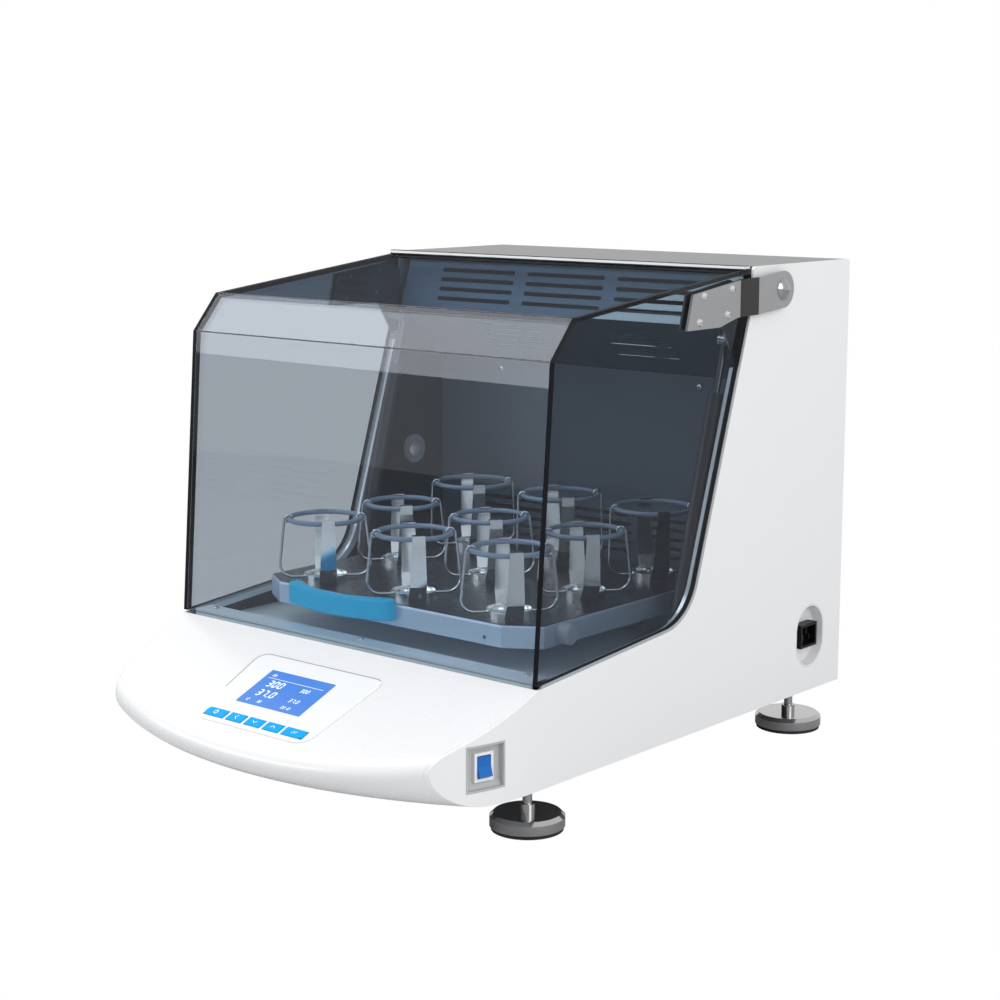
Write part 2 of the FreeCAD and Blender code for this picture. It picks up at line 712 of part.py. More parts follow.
def moulding_trim(name):
    sweep = size("curve_sweep")
    end = (curve_x + side_blank_reach * cosine(sweep), curve_y - side_blank_reach * sine(sweep))
    far = half_body + size("switch_margin")
    return slab(name, "z", [[
        (curve_x + side_blank_reach, hood_line + size("switch_margin")),
        (curve_x + side_blank_reach, curve_y, ("u", curve_x, curve_x, curve_y, False)),
        end,
        (end[0], front_y - size("switch_margin")),
        (far, front_y - size("switch_margin")),
        (far, hood_line + size("switch_margin")),
    ]], 0, "body_top")


trim_right = moulding_trim("trim_right")
trim_left = mirror("trim_left", trim_right)
hollow = cut("moulding_hollow", crest, inner_form)
one_side = cut("moulding_right_end", hollow, trim_right)
both_sides = cut("moulding_ends", one_side, trim_left)
switch_room = switch_box("switch_room", size("switch_wall") + size("fit_gap"),
                         size("switch_deep") + size("switch_wall") + size("fit_gap"))
moulding_body = cut("moulding_body", both_sides, switch_room)

# Deck items lie in a frame at the hood line, its Y up the slope and Z out of it
deck_place = dict(x=0, y=hood_line, z="deck_top", axis=V(1, 0, 0), angle="deck_tilt")
KEY_NAMES = ["key_start", "key_left", "key_down", "key_up", "key_set"]
FIRST_KEY = 0
LAST_KEY = len(KEY_NAMES) - 1
key_u = [size("key_pitch") * (step - LAST_KEY / 2) for step in range(len(KEY_NAMES))]
key_v = -(size("key_from") + size("key_long") / 2)
end_extra = (size("key_end_long") - size("key_wide")) / 2


def key_outline(index, grow):
    grow = size(grow)
    wide = size("key_end_long") if index in (FIRST_KEY, LAST_KEY) else size("key_wide")
    shift = size(0)
    if index == FIRST_KEY:
        shift = -end_extra
    if index == LAST_KEY:
        shift = end_extra
    left = key_u[index] + shift - wide / 2 - grow
    right = key_u[index] + shift + wide / 2 + grow
    low = key_v - size("key_long") / 2 - grow
    high = key_v + size("key_long") / 2 + grow
    return [(left, low), (right, low), (right, high), (left, high)]


wells = []
for index in range(len(KEY_NAMES)):
    well = slab("key_well_%d" % (index + 1), "z", [key_outline(index, "key_gap")],
                -size("key_well"), size("key_well") + size("overlay_thick") * 2)
    wells.append(place(well, **deck_place))
well_group = fuse("key_wells", wells)
node("front_bumper", cut("front_bumper", moulding_body, well_group))

overlay_blank = slab("overlay_blank", "z", [[
    (-size("overlay_top") / 2, -size("overlay_from")),
    (-size("overlay_foot") / 2, -size("overlay_to")),
    (size("overlay_foot") / 2, -size("overlay_to")),
    (size("overlay_top") / 2, -size("overlay_from")),
], [
    (-size("screen_wide") / 2 - size("screen_shift"), -size("screen_from")),
    (size("screen_wide") / 2 - size("screen_shift"), -size("screen_from")),
    (size("screen_wide") / 2 - size("screen_shift"), -size("screen_from") - size("screen_long")),
    (-size("screen_wide") / 2 - size("screen_shift"), -size("screen_from") - size("screen_long")),
]], 0, "overlay_thick")
round_edges(overlay_blank, "overlay_corner",
            lambda p, w: abs(w.z) > 0.9 and near(p.y, -size("overlay_from")))
round_edges(overlay_blank, "overlay_foot_round",
            lambda p, w: abs(w.z) > 0.9 and near(p.y, -size("overlay_to")))
place(overlay_blank, **deck_place)
node("control_overlay", cut("control_overlay", overlay_blank, well_group))

screen = slab("display_screen", "z", [[
    (-size("screen_wide") / 2 - size("screen_shift"), -size("screen_from") - size("screen_long")),
    (size("screen_wide") / 2 - size("screen_shift"), -size("screen_from") - size("screen_long")),
    (size("screen_wide") / 2 - size("screen_shift"), -size("screen_from")),
    (-size("screen_wide") / 2 - size("screen_shift"), -size("screen_from")),
]], 0, "screen_thick")
node("display_screen", place(screen, **deck_place))

for index, label in enumerate(KEY_NAMES):
    key = slab(label, "z", [key_outline(index, 0)], 0, "key_high")
    if index == FIRST_KEY:
        edge_x = key_outline(FIRST_KEY, 0)[0][0]
        round_edges(key, "key_end_round", lambda p, w: abs(w.z) > 0.9 and near(p.x, edge_x))
    if index == LAST_KEY:
        edge_x = key_outline(LAST_KEY, 0)[1][0]
        round_edges(key, "key_end_round", lambda p, w: abs(w.z) > 0.9 and near(p.x, edge_x))
    round_edges(key, "key_round", lambda p, w: abs(w.z) < 0.1 and near(p.z, "key_high"))
    node(label, place(key, **deck_place))

# Sheet-metal cabinet behind the moulding
cover_z = size("body_top") - size("cover_thick")
sheet_x = inner_side - size("fit_gap")
cover_back = rear_y - size("panel_thick") - size("fit_gap")
node("top_cover", slab("top_cover", "x", [[
    (cover_front, size("body_top") - size("cover_lip")),
    (cover_front + size("cover_thick"), size("body_top") - size("cover_lip")),
    (cover_front + size("cover_thick"), cover_z),
    (cover_back, cover_z),
    (cover_back, "body_top"),
    (cover_front, "body_top"),
]], -sheet_x, sheet_x * 2))

rear_panel = slab("rear_panel", "y", [[
    (-sheet_x, "body_under"),
    (sheet_x, "body_under"),
    (sheet_x, "body_top"),
    (-sheet_x, "body_top"),
]], rear_y - size("panel_thick"), "panel_thick")
slot_rows(rear_panel, "back_louvre", "y",
          (-size("back_pitch_x") * (BACK_COLUMNS - 1) / 2, back_first_z),
          ("back_slot_long", "back_slot_high"), BACK_COLUMNS, "back_pitch_x",
          BACK_ROWS, "back_pitch_z")
node("rear_panel", rear_panel)

foot_front = hood_line + size("foot_setback")
foot_spots = [
    ("foot_front_right", foot_side, foot_front),
    ("foot_front_left", -foot_side, foot_front),
    ("foot_rear_right", foot_side, foot_rear),
    ("foot_rear_left", -foot_side, foot_rear),
]
stem_holes = [("stem_hole", x, y, size("foot_stem") + size("fit_gap")) for _, x, y in foot_spots]
pan_front = hood_line + size("fit_gap")
pan_wall = size("cover_thick")
pan_blank = slab("pan_blank", "z", [[
    (-sheet_x, pan_front),
    (sheet_x, pan_front),
    (sheet_x, cover_back),
    (-sheet_x, cover_back),
]], "body_under", "pan_depth", [spot[1:] for spot in stem_holes])
pan_space = box("pan_space", -sheet_x + pan_wall, pan_front + pan_wall,
                size("body_under") + pan_wall, (sheet_x - pan_wall) * 2,
                cover_back - pan_front - pan_wall * 2, size("pan_depth"))
node("base_pan", cut("base_pan", pan_blank, pan_space))

# Chamber floor with its raised front ledge, and the holes for the drive shafts
drive_y = tray_rest_y + size("orbit_radius")
idler_y = drive_y + size("idler_back")
motor_y = drive_y - size("motor_back")
plate_x = liner_inner - size("plate_side")
skin = size("sheet_thick")
ledge_front = hood_line + size("pane_thick") + size("pane_thick") / 6
floor_front = hood_line + size("floor_setback")
ledge_back = hood_line + size("ledge_setback")
ledge_tilt = slope_angle(size("ledge_top") - size("floor_top"), floor_front - ledge_back)
bend = skin * tangent(ledge_tilt / 2)
floor_blank = slab("floor_blank", "x", [[
    (wall_y - size("plate_side"), "floor_top"),
    (floor_front, "floor_top"),
    (ledge_back, "ledge_top"),
    (ledge_front, "ledge_top"),
    (ledge_front, size("ledge_top") - size("ledge_lip")),
    (ledge_front + skin, size("ledge_top") - size("ledge_lip")),
    (ledge_front + skin, size("ledge_top") - skin),
    (ledge_back - bend, size("ledge_top") - skin),
    (floor_front - bend, size("floor_top") - skin),
    (wall_y - size("plate_side"), size("floor_top") - skin),
]], -plate_x, plate_x * 2)
shaft_spots = [
    (0, drive_y),
    (size("idler_x"), idler_y),
    (-size("idler_x"), idler_y),
]
shaft_holes = group("shaft_holes", [
    rod("shaft_hole_%d" % (index + 1), spot[0], spot[1],
        size("floor_top") - skin * 2, "shaft_hole", skin * 3)
    for index, spot in enumerate(shaft_spots)
])
node("chamber_floor", cut("chamber_floor", floor_blank, shaft_holes))

# Side liners, their front edge set back behind the window edge
liner_ahead = -(size("trim_deep") + size("fit_gap"))
liner_drop = -(size("trim_high") + size("fit_gap"))
liner_top = soffit_top
liner_start = ledge_front + skin
liner = slab("liner", "x", [[
    (liner_start, size("floor_top") - skin),
    (wall_y, size("floor_top") - skin),
    (wall_y, liner_top),
    (window_at(liner_top, liner_ahead), liner_top),
    window_corner(liner_ahead, liner_drop),
    (liner_start, sill_at(liner_start, liner_drop)),
]], liner_inner, skin)
liner_corner = window_corner(liner_ahead, liner_drop)
round_edges(liner, size("corner_radius") + size("trim_deep"),
            lambda p, w: near(p.y, liner_corner[0]) and near(p.z, liner_corner[1])
            and abs(w.x) > 0.9)
liner_left = mirror("liner_left", liner)
port_gap = rod("port_gap", -liner_inner - skin * 2, port_y, "port_z",
               "port_tube", skin * 3, "x")
node("chamber_liners", group("chamber_liners", [liner, cut("liner_ported", liner_left, port_gap)]))

rear_wall = slab("chamber_rear_wall", "y", [[
    (-plate_x, "floor_top"),
    (plate_x, "floor_top"),
    (plate_x, soffit_bottom),
    (-plate_x, soffit_bottom),
]], wall_y, skin)
slot_rows(rear_wall, "grille", "y", (-size("grille_pitch_x"), size("grille_first")),
          ("grille_long", "grille_high"), GRILLE_COLUMNS, "grille_pitch_x",
          GRILLE_ROWS, "grille_pitch_z")
node("chamber_rear_wall", rear_wall)

soffit_run = wall_y - soffit_front
soffit_fall = soffit_top - soffit_bottom
soffit_length = root(soffit_run * soffit_run + soffit_fall * soffit_fall)
soffit = slab("soffit_panel", "z", [[
    (-plate_x, skin + size("fit_gap")),
    (plate_x, skin + size("fit_gap")),
    (plate_x, soffit_length - size("fit_gap")),
    (-plate_x, soffit_length - size("fit_gap")),
]], 0, skin)
slot_rows(soffit, "louvre", "z", (-size("louvre_pitch_x") / 2, size("louvre_first")),
          ("louvre_long", "louvre_high"), LOUVRE_COLUMNS, "louvre_pitch_x",
          LOUVRE_ROWS, "louvre_pitch_y")
node("soffit_panel", place(soffit, 0, soffit_front, soffit_top, V(1, 0, 0),
                           -slope_angle(soffit_fall, soffit_run)))

vent = slab("vent_panel", "y", [[
    (-plate_x, 0),
    (plate_x, 0),
    (plate_x, "vent_tall"),
    (-plate_x, "vent_tall"),
]], 0, skin)
slot_rows(vent, "vent", "y", (-size("vent_pitch_x"), size("vent_first_z")),
          ("vent_slot_long", "vent_slot_high"), VENT_COLUMNS, "vent_pitch_x",
          VENT_ROWS, "vent_pitch_z")
node("vent_panel", place(vent, 0, soffit_front, soffit_top, V(1, 0, 0),
                         -size("window_lean")))


# Strips that follow the window edge: polished trims, and seals facing the panes
def window_strip(name, start, wide, top, ahead, above, behind, below, begin):
    outer = window_corner(ahead, above)
    inner = window_corner(-size(behind), -size(below))
    strip = slab(name, "x", [[
        (begin, sill_at(begin, above)),
        outer,
        (window_at(top, ahead), top),
        (window_at(top, -size(behind)), top),
        inner,
        (begin, sill_at(begin, -size(below))),
    ]], start, wide)
    round_edges(strip, size("corner_radius") - size(above),
                lambda p, w: near(p.y, outer[0]) and near(p.z, outer[1]) and abs(w.x) > 0.9)
    round_edges(strip, size("corner_radius") + size(behind),
                lambda p, w: near(p.y, inner[0]) and near(p.z, inner[1]) and abs(w.x) > 0.9)
    return strip


trim = window_strip("trim_strip", liner_inner, "trim_wide", seal_top, 0, 0,
                    "trim_deep", "trim_high", ledge_front + size("trim_end"))
node("window_trims", group("window_trims", [trim, mirror("trim_strip_left", trim)]))
seal_x = liner_inner + size("trim_wide") + size("fit_gap")
seal = window_strip("seal_strip", seal_x, inner_side - seal_x - size("fit_gap"), seal_top,
                    "seal_high", "seal_high", "seal_back", "seal_back", ledge_front + skin)
node("hood_seals", group("hood_seals", [seal, mirror("seal_strip_left", seal)]))

# Cable port through the left wall
port_reach = half_body - liner_inner
port_wall = size("port_tube") - size("fit_gap")
port = turned("access_port", [
    ("port_bore", 0),
    ("port_flange", 0),
    ("port_flange", "port_flange_thick"),
    (port_wall, "port_flange_thick"),
    (port_wall, size("port_flange_thick") + port_reach + size("panel_thick")),
    ("port_bore", size("port_flange_thick") + port_reach + size("panel_thick")),
], (-liner_inner + size("port_flange_thick"), port_y, "port_z"), V(0, 1, 0), -90)
node("access_port", port)

# Switch recess, bezel and rocker, in a frame square to the curved side panel
switch_place = dict(x=switch_x, y=switch_y, z="switch_z", axis=V(0, 0, 1), angle=-switch_turn)
half_tall = size("switch_tall") / 2
half_wide = size("switch_wide") / 2
cup_zone = side_plan("cup_zone", 0, size("switch_deep") * 3, 0, "body_top")
cup_wall = size("switch_wall") - size("fit_gap")
cup_block = switch_box("cup_block", cup_wall, size("switch_deep") + cup_wall)
cup_space = slab("cup_space", "y", [[
    (-size("switch_deep"), -half_tall + size("switch_lip") / 2),
    (-size("switch_deep"), half_tall),
    ("switch_margin", half_tall),
    ("switch_margin", -half_tall),
    (-size("switch_lip") / 2, -half_tall),
]], -half_wide, size("switch_wide"))
place(cup_space, **switch_place)
cup = common("switch_cup", cut("cup_hollow", cup_block, cup_space), cup_zone)
node("switch_recess", cup)

bezel_in = size("bezel_wide") / 2 - size("bezel_frame")
bezel_in_tall = size("bezel_tall") / 2 - size("bezel_frame")
bezel = slab("bezel_frame_block", "x", [[
    (-size("bezel_wide") / 2, -size("bezel_tall") / 2),
    (size("bezel_wide") / 2, -size("bezel_tall") / 2),
    (size("bezel_wide") / 2, size("bezel_tall") / 2),
    (-size("bezel_wide") / 2, size("bezel_tall") / 2),
], [
    (-bezel_in, -bezel_in_tall),
    (bezel_in, -bezel_in_tall),
    (bezel_in, bezel_in_tall),
    (-bezel_in, bezel_in_tall),
]], -size("switch_deep"), "rocker_high")
rocker_x = -size("switch_deep") + size("rocker_high") / 2
pin_reach = bezel_in + size("bezel_frame") / 2
place(bezel, **switch_place)
half_rock = bezel_in_tall - size("rocker_gap") * 3
rock_wide = (bezel_in - size("rocker_gap")) * 2
rocker_block = slab("rocker_block", "y", [[
    (size("rocker_high") * 3 / 4, 0),
    (size("rocker_high") * 6 / 5, half_rock),
    (size("rocker_high") / 3, half_rock),
    (-size("rocker_high") * 2 / 5, 0),
    (size("rocker_high") / 3, -half_rock),
    (size("rocker_high") * 6 / 5, -half_rock),
]], -rock_wide / 2, rock_wide)
rocker_pin = rod("rocker_pin_rod", 0, -pin_reach + size("fit_gap"), 0, "rocker_pin",
                 (pin_reach - size("fit_gap")) * 2, "y")
rocker = fuse("rocker_solid", [rocker_block, rocker_pin])
pin_spot = rod("bezel_pin_hole", 0, -pin_reach, 0, size("rocker_pin") + size("run_gap"),
               pin_reach * 2, "y")
for item in (rocker, pin_spot):
    spin = FreeCAD.Rotation(V(0, 0, 1), -switch_turn.value)
    if item is rocker:
        spin = spin * FreeCAD.Rotation(V(0, 1, 0), -size("rocker_rest").value)
    item.Placement = FreeCAD.Placement(V(0, 0, 0), spin)
    if item is pin_spot:
        item.Placement.Rotation = spin * FreeCAD.Rotation(V(1, 0, 0), -90)
        start = -pin_reach
    else:
        start = size(0)
    bind(item, "Placement.Base.x",
         switch_x + rocker_x * cosine(switch_turn) + start * sine(switch_turn))
    bind(item, "Placement.Base.y",
         switch_y - rocker_x * sine(switch_turn) + start * cosine(switch_turn))
    bind(item, "Placement.Base.z", "switch_z")
node("power_rocker", rocker)
node("switch_bezel", cut("switch_bezel", bezel, pin_spot))

# Mains inlet: an oval recess with the socket standing in it
inlet_floor = half_body - size("inlet_deep")
inlet_skin = size("inlet_wall") - size("fit_gap")
inlet_outer = pill(inlet_y, "inlet_z", size("inlet_wide") + inlet_skin * 2,
                   size("inlet_tall") + inlet_skin * 2)
inlet_block = slab("inlet_block", "x", [inlet_outer], inlet_floor - inlet_skin,
                   size("inlet_deep") + inlet_skin)
inlet_space = slab("inlet_space", "x",
                   [pill(inlet_y, "inlet_z", "inlet_wide", "inlet_tall")],
                   inlet_floor, size("inlet_deep") * 2)
node("inlet_recess", cut("inlet_recess", inlet_block, inlet_space))

socket_block = box("socket_block", inlet_floor, inlet_y - size("socket_wide") / 2,
                   size("inlet_z") - size("socket_tall") / 2, "socket_deep", "socket_wide",
                   "socket_tall")
socket_space = box("socket_space", inlet_floor + size("socket_wall"),
                   inlet_y - size("socket_wide") / 2 + size("socket_wall"),
                   size("inlet_z") - size("socket_tall") / 2 + size("socket_wall"),
                   "socket_deep", size("socket_wide") - size("socket_wall") * 2,
                   size("socket_tall") - size("socket_wall") * 2)
LUG_SHARES = ((-0.2, -0.1), (0.2, -0.1), (0, 0.15))
lugs = []
for index, (share_y, share_z) in enumerate(LUG_SHARES):
    lugs.append(box("socket_lug_%d" % (index + 1), inlet_floor + size("socket_wall"),
                    inlet_y + size("socket_wide") * share_y - size("socket_lug") / 2,
                    size("inlet_z") + size("socket_tall") * share_z - size("socket_lug_wide") / 2,
                    "socket_back", "socket_lug", "socket_lug_wide"))
node("inlet_socket", fuse("inlet_socket", [cut("socket_shell", socket_block, socket_space)] + lugs))


# Levelling feet: a chromed disc and screw on a rubber pad, held by a nut
for label, foot_x, foot_y in foot_spots:
    shank = turned(label + "_disc", [
        (0, "foot_rubber"),
        ("foot_radius", "foot_rubber"),
        ("foot_radius", size("foot_high") - size("foot_round")),
        (size("foot_radius") - size("foot_round"), "foot_high"),
        ("foot_neck", size("foot_high") + size("fit_gap")),
        ("foot_neck", size("foot_high") + size("foot_neck_high")),
        ("foot_stem", size("foot_high") + size("foot_neck_high")),
        ("foot_stem", "foot_stem_top"),
        (0, "foot_stem_top"),
    ], (foot_x, foot_y, 0))
    pad = rod(label + "_pad", foot_x, foot_y, 0, size("foot_radius") - size("fit_gap") * 5,
              "foot_rubber")
    node(label, fuse(label, [shank, pad]))

nut_half = size("nut_across") / 2
nut_point = nut_half / root(size(3)) * 2
nut_low = size("body_under") - size("nut_high")
nut = slab("foot_nut", "z", [[
    (nut_point, 0),
    (nut_point / 2, nut_half),
    (-nut_point / 2, nut_half),
    (-nut_point, 0),
    (-nut_point / 2, -nut_half),
    (nut_point / 2, -nut_half),
]], 0, "nut_high", [(0, 0, size("foot_stem") + size("run_gap"))])
node("foot_nuts", copies("foot_nuts", nut, [(x, y, nut_low) for _, x, y in foot_spots]))

# Hood: one bent sheet over the front and top, between two side panes
hood_half = half_body - size("hood_inset")
pane_in = hood_half - size("pane_thick")
foot_pane = (hood_line, sill_at(hood_line, "seal_gap"))
chamfer_low = (hood_line + size("chamfer_low_setback"), chamfer_low_z)
chamfer_top = (hood_line + size("chamfer_top_setback"), chamfer_top_z)
crown = (hood_rear, hood_top)


def unit(start, finish):
    """Direction from one point to the other, as a pair of sizes."""
    run = finish[0] - start[0]
    rise = finish[1] - start[1]
    long = root(run * run + rise * rise)
    return (run / long, rise / long)


def inset(before, corner, after, amount):
    """The corner moved to the right of the path by the amount, mitred."""
    one = unit(before, corner)
    two = unit(corner, after)
    share = size(amount) / (1 + one[0] * two[0] + one[1] * two[1])
    return (corner[0] + share * (one[1] + two[1]), corner[1] - share * (one[0] + two[0]))


slope_front = (chamfer_low[0] - foot_pane[0]) / (chamfer_low[1] - foot_pane[1])
slope_top = (crown[1] - chamfer_top[1]) / (crown[0] - chamfer_top[0])
in_foot = (foot_pane[0] + size("pane_thick") * root(1 + slope_front * slope_front), foot_pane[1])
in_crown = (crown[0], crown[1] - size("pane_thick") * root(1 + slope_top * slope_top))
shell_half = pane_in - size("plate_side")
node("hood_front_sheet", slab("hood_front_sheet", "x", [[
    foot_pane,
    chamfer_low,
    chamfer_top,
    crown,
    in_crown,
    inset(chamfer_low, chamfer_top, crown, "pane_thick"),
    inset(foot_pane, chamfer_low, chamfer_top, "pane_thick"),
    in_foot,
]], -shell_half, shell_half * 2))

edge_z = size("window_z") + (crown[0] + size("seal_gap") - window_y) / lean_slope
pane_corner = window_corner("seal_gap", "seal_gap")
side_pane = slab("side_pane", "x", [[
    foot_pane,
    chamfer_low,
    chamfer_top,
    crown,
    (crown[0], edge_z),
    pane_corner,
]], pane_in, "pane_thick")
round_edges(side_pane, size("corner_radius") - size("seal_gap"),
            lambda p, w: near(p.y, pane_corner[0]) and near(p.z, pane_corner[1])
            and abs(w.x) > 0.9)

# Screws through the arm, the pane and the plate inside it
plate_inner = liner_inner + size("rail_rise")
plate_thin = pane_in - plate_inner
arm_outer = hood_half + size("arm_thick")
screw_spots = [
    (screw_front_y, screw_front_high),
    (screw_rear_y, screw_rear_high),
    (screw_front_y - size("screw_slip"), screw_front_high - size("screw_drop")),
    (screw_rear_y - size("screw_slip"), screw_rear_high - size("screw_drop")),
]
screw = turned("hood_screw", [
    (0, plate_inner - arm_outer),
    ("screw_shank", plate_inner - arm_outer),
    ("screw_shank", 0),
    ("screw_head", 0),
    (size("screw_head") * 3 / 4, size("screw_dome") * 3 / 4),
    (size("screw_head") / 3, "screw_dome"),
    (0, "screw_dome"),
])
screws_right = copies("screws_right", screw,
                      [(arm_outer, y, z, V(0, 1, 0), 90) for y, z in screw_spots])
node("hood_screws", group("hood_screws", [screws_right, mirror("screws_left", screws_right)]))
screw_bores = group("screw_bores", [
    rod("screw_bore_%d" % (index + 1), plate_inner - plate_thin, y, z,
        size("screw_shank") + size("run_gap"), arm_outer - plate_inner + plate_thin * 2, "x")
    for index, (y, z) in enumerate(screw_spots)
])
pane_drilled = cut("pane_drilled", side_pane, screw_bores)
node("hood_side_panes", group("hood_side_panes", [pane_drilled, mirror("pane_left", pane_drilled)]))

# Arms: flat on the pane, stepped out past the cabinet to the pivot
tail_in = hood_half + size("arm_offset")
tail_end = pivot_y + size("arm_end") * 2
arm_strip = slab("arm_strip", "z", [[
    (hood_half, arm_front - size("pane_thick")),
    (arm_outer, arm_front - size("pane_thick")),
    (arm_outer, arm_bend_y),
    (tail_in + size("arm_thick"), arm_bend_y + size("joggle_deep")),
    (tail_in + size("arm_thick"), tail_end),
    (tail_in, tail_end),
    (tail_in, arm_bend_y + size("joggle_deep")),
    (hood_half, arm_bend_y),
]], 0, "body_top")
arm_shape = slab("arm_shape", "x", [[
    (arm_nose_y, arm_nose_z),
    (arm_front, arm_front_low),
    (arm_knee_y, arm_front_low),
    (arm_low_y, arm_low_z),
    (pivot_y, pivot_z - size("arm_end"),
     ("u", pivot_y, pivot_y, pivot_z, True)),
    (pivot_y, pivot_z + size("arm_end")),
    (arm_bend_y, arm_bend_z),
]], inner_side, size("arm_offset") * 3)
arm_blank = common("arm_blank", arm_strip, arm_shape)
pivot_bore = rod("pivot_bore", half_body, pivot_y, pivot_z,
                 size("pivot_pin") + size("run_gap"), size("arm_offset") * 3, "x")
arm = cut("arm_drilled", cut("arm_bored", arm_blank, screw_bores), pivot_bore)
node("hood_arms", group("hood_arms", [arm, mirror("arm_left", arm)]))

boss_end = tail_in - size("fit_gap")
dome_start = tail_in + size("arm_thick") + size("fit_gap")
dome_tip = dome_start + size("dome_sphere") - root(
    size("dome_sphere") * size("dome_sphere") - size("pivot_dome") * size("pivot_dome"))
pivot = turned("hinge_pivot", [
    (0, 0),
    ("pivot_boss", 0),
    ("pivot_boss", boss_end - half_body),
    ("pivot_pin", boss_end - half_body),
    ("pivot_pin", dome_start - half_body),
    ("pivot_dome", dome_start - half_body,
     ("u", 0, 0, dome_tip - half_body - size("dome_sphere"), True)),
    (0, dome_tip - half_body),
], (half_body, pivot_y, pivot_z), V(0, 1, 0), 90)
node("hinge_pivots", group("hinge_pivots", [pivot, mirror("hinge_pivot_left", pivot)]))

# Plates inside the hood carry the studs that the gas struts push on
clamp_plate = slab("clamp_plate", "x", [[
    (arm_nose_y, arm_nose_z),
    (arm_front, arm_front_low),
    (tail_front_y, arm_front_low),
    (tail_tip_y - size("tail_half"), tail_tip_z),
    (tail_tip_y + size("tail_half"), tail_tip_z),
    (tail_back_y, tail_back_z),
    (crown[0], screw_rear_high),
    (screw_rear_y + size("screw_slip"), arm_bend_z),
]], plate_inner, plate_thin)
clamp_plate_drilled = cut("clamp_plate_drilled", clamp_plate, screw_bores)
node("hood_clamp_plates", group("hood_clamp_plates", [
    clamp_plate_drilled, mirror("clamp_plate_left", clamp_plate_drilled)]))

eye_out = strut_x + size("eye_wide") / 2
stud = rod("strut_stud", eye_out + size("fit_gap"), strut_high_y, strut_high_z,
           "stud_radius", plate_inner - eye_out - size("fit_gap"), "x")
node("strut_studs", group("strut_studs", [stud, mirror("strut_stud_left", stud)]))


def crown_at(y, above=0):
    return crown[1] + slope_top * (size(y) - crown[0]) + size(above)


rail_front = crown[0] + size("rail_back") - size("rail_deep")
rail = slab("hood_rail", "x", [[
    (rail_front, crown_at(rail_front)),
    (crown[0], crown[1]),
    in_crown,
    (crown[0] + size("rail_back"), in_crown[1]),
    (crown[0] + size("rail_back"), crown[1] + size("rail_rise")),
    (rail_front, crown[1] + size("rail_rise")),
]], -hood_half, hood_half * 2)
round_edges(rail, "rail_back", lambda p, w: abs(w.x) > 0.9
            and near(p.y, crown[0] + size("rail_back"))
            and near(p.z, crown[1] + size("rail_rise")))
node("hood_rail", rail)

# Gas struts, drawn upright from the lower eye and leaned to the stud
strut_run = strut_high_y - strut_low_y
strut_rise = strut_high_z - size("strut_low_z")
strut_long = root(strut_run * strut_run + strut_rise * strut_rise)
strut_lean = -slope_angle(strut_run, strut_rise)
strut_mouth = strut_long - size("rod_bare")
eye_start = strut_x - size("eye_wide") / 2


def on_strut(item):
    item.Placement = FreeCAD.Placement(V(0, 0, 0), FreeCAD.Rotation(V(1, 0, 0), -1.0))
    return place(item, strut_x, strut_low_y, "strut_low_z", V(1, 0, 0), strut_lean)


def eye_at(name, y, z, bore):
    ring = rod(name, eye_start, y, z, "eye_radius", "eye_wide", "x")
    if bore is None:
        return ring
    hole = rod(name + "_bore", eye_start - size("eye_wide"), y, z, bore,
               size("eye_wide") * 3, "x")
    return cut(name + "_bored", ring, hole)


tube = on_strut(turned("strut_tube_solid", [
    (0, "eye_neck"),
    ("strut_radius", "eye_neck"),
    ("strut_radius", strut_mouth),
    (size("rod_radius") + size("run_gap"), strut_mouth),
    (size("rod_radius") + size("run_gap"), size("rod_start") - size("eye_neck") / 2),
    (0, size("rod_start") - size("eye_neck") / 2),
]))
neck = on_strut(turned("strut_neck", [
    (0, size("strut_pin") + size("run_gap")),
    ("rod_radius", size("strut_pin") + size("run_gap")),
    ("rod_radius", "eye_neck"),
    (0, "eye_neck"),
]))
lower_hole = rod("lower_hole", eye_start - size("eye_wide"), strut_low_y, "strut_low_z",
                 size("strut_pin") + size("run_gap"), size("eye_wide") * 3, "x")
lower_eye = rod("lower_eye", eye_start, strut_low_y, "strut_low_z", "eye_radius",
                "eye_wide", "x")
strut_body = cut("strut_body_right", fuse("strut_body_blank", [tube, neck, lower_eye]), lower_hole)
node("strut_body_right", strut_body)
node("strut_body_left", mirror("strut_body_left", strut_body))
piston = on_strut(turned("strut_piston", [
    (0, "rod_start"),
    ("rod_radius", "rod_start"),
    ("rod_radius", strut_long),
    (0, strut_long),
]))
upper_eye = rod("upper_eye", eye_start, strut_high_y, strut_high_z, "eye_radius",
                "eye_wide", "x")
strut_rod = fuse("strut_rod_right", [piston, upper_eye])
node("strut_rod_right", strut_rod)
node("strut_rod_left", mirror("strut_rod_left", strut_rod))
pin_head = size("stud_radius") + size("fit_gap")
strut_pin = turned("strut_pin_solid", [
    (0, eye_start - size("fit_gap") - size("skin_head") - strut_x),
    (pin_head, eye_start - size("fit_gap") - size("skin_head") - strut_x),
    (pin_head, eye_start - size("fit_gap") - strut_x),
    ("strut_pin", eye_start - size("fit_gap") - strut_x),
    ("strut_pin", liner_inner - strut_x),
    (0, liner_inner - strut_x),
], (strut_x, strut_low_y, "strut_low_z"), V(0, 1, 0), 90)
node("strut_pins", group("strut_pins", [strut_pin, mirror("strut_pin_left", strut_pin)]))

# Shaking platform: a shallow folded tray with a field of clamp holes


def tray_outline(inset_by):
    inset_by = size(inset_by)
    wide = tray_x - inset_by
    deep = tray_y - inset_by
    cut_x = size("tray_corner_x") - inset_by / 2
    cut_y = size("tray_corner_y") - inset_by / 2
    mid = tray_rest_y
    return [
        (wide - cut_x, mid - deep), (wide, mid - deep + cut_y),
        (wide, mid + deep - cut_y), (wide - cut_x, mid + deep),
        (-wide + cut_x, mid + deep), (-wide, mid + deep - cut_y),
        (-wide, mid - deep + cut_y), (-wide + cut_x, mid - deep),
    ]


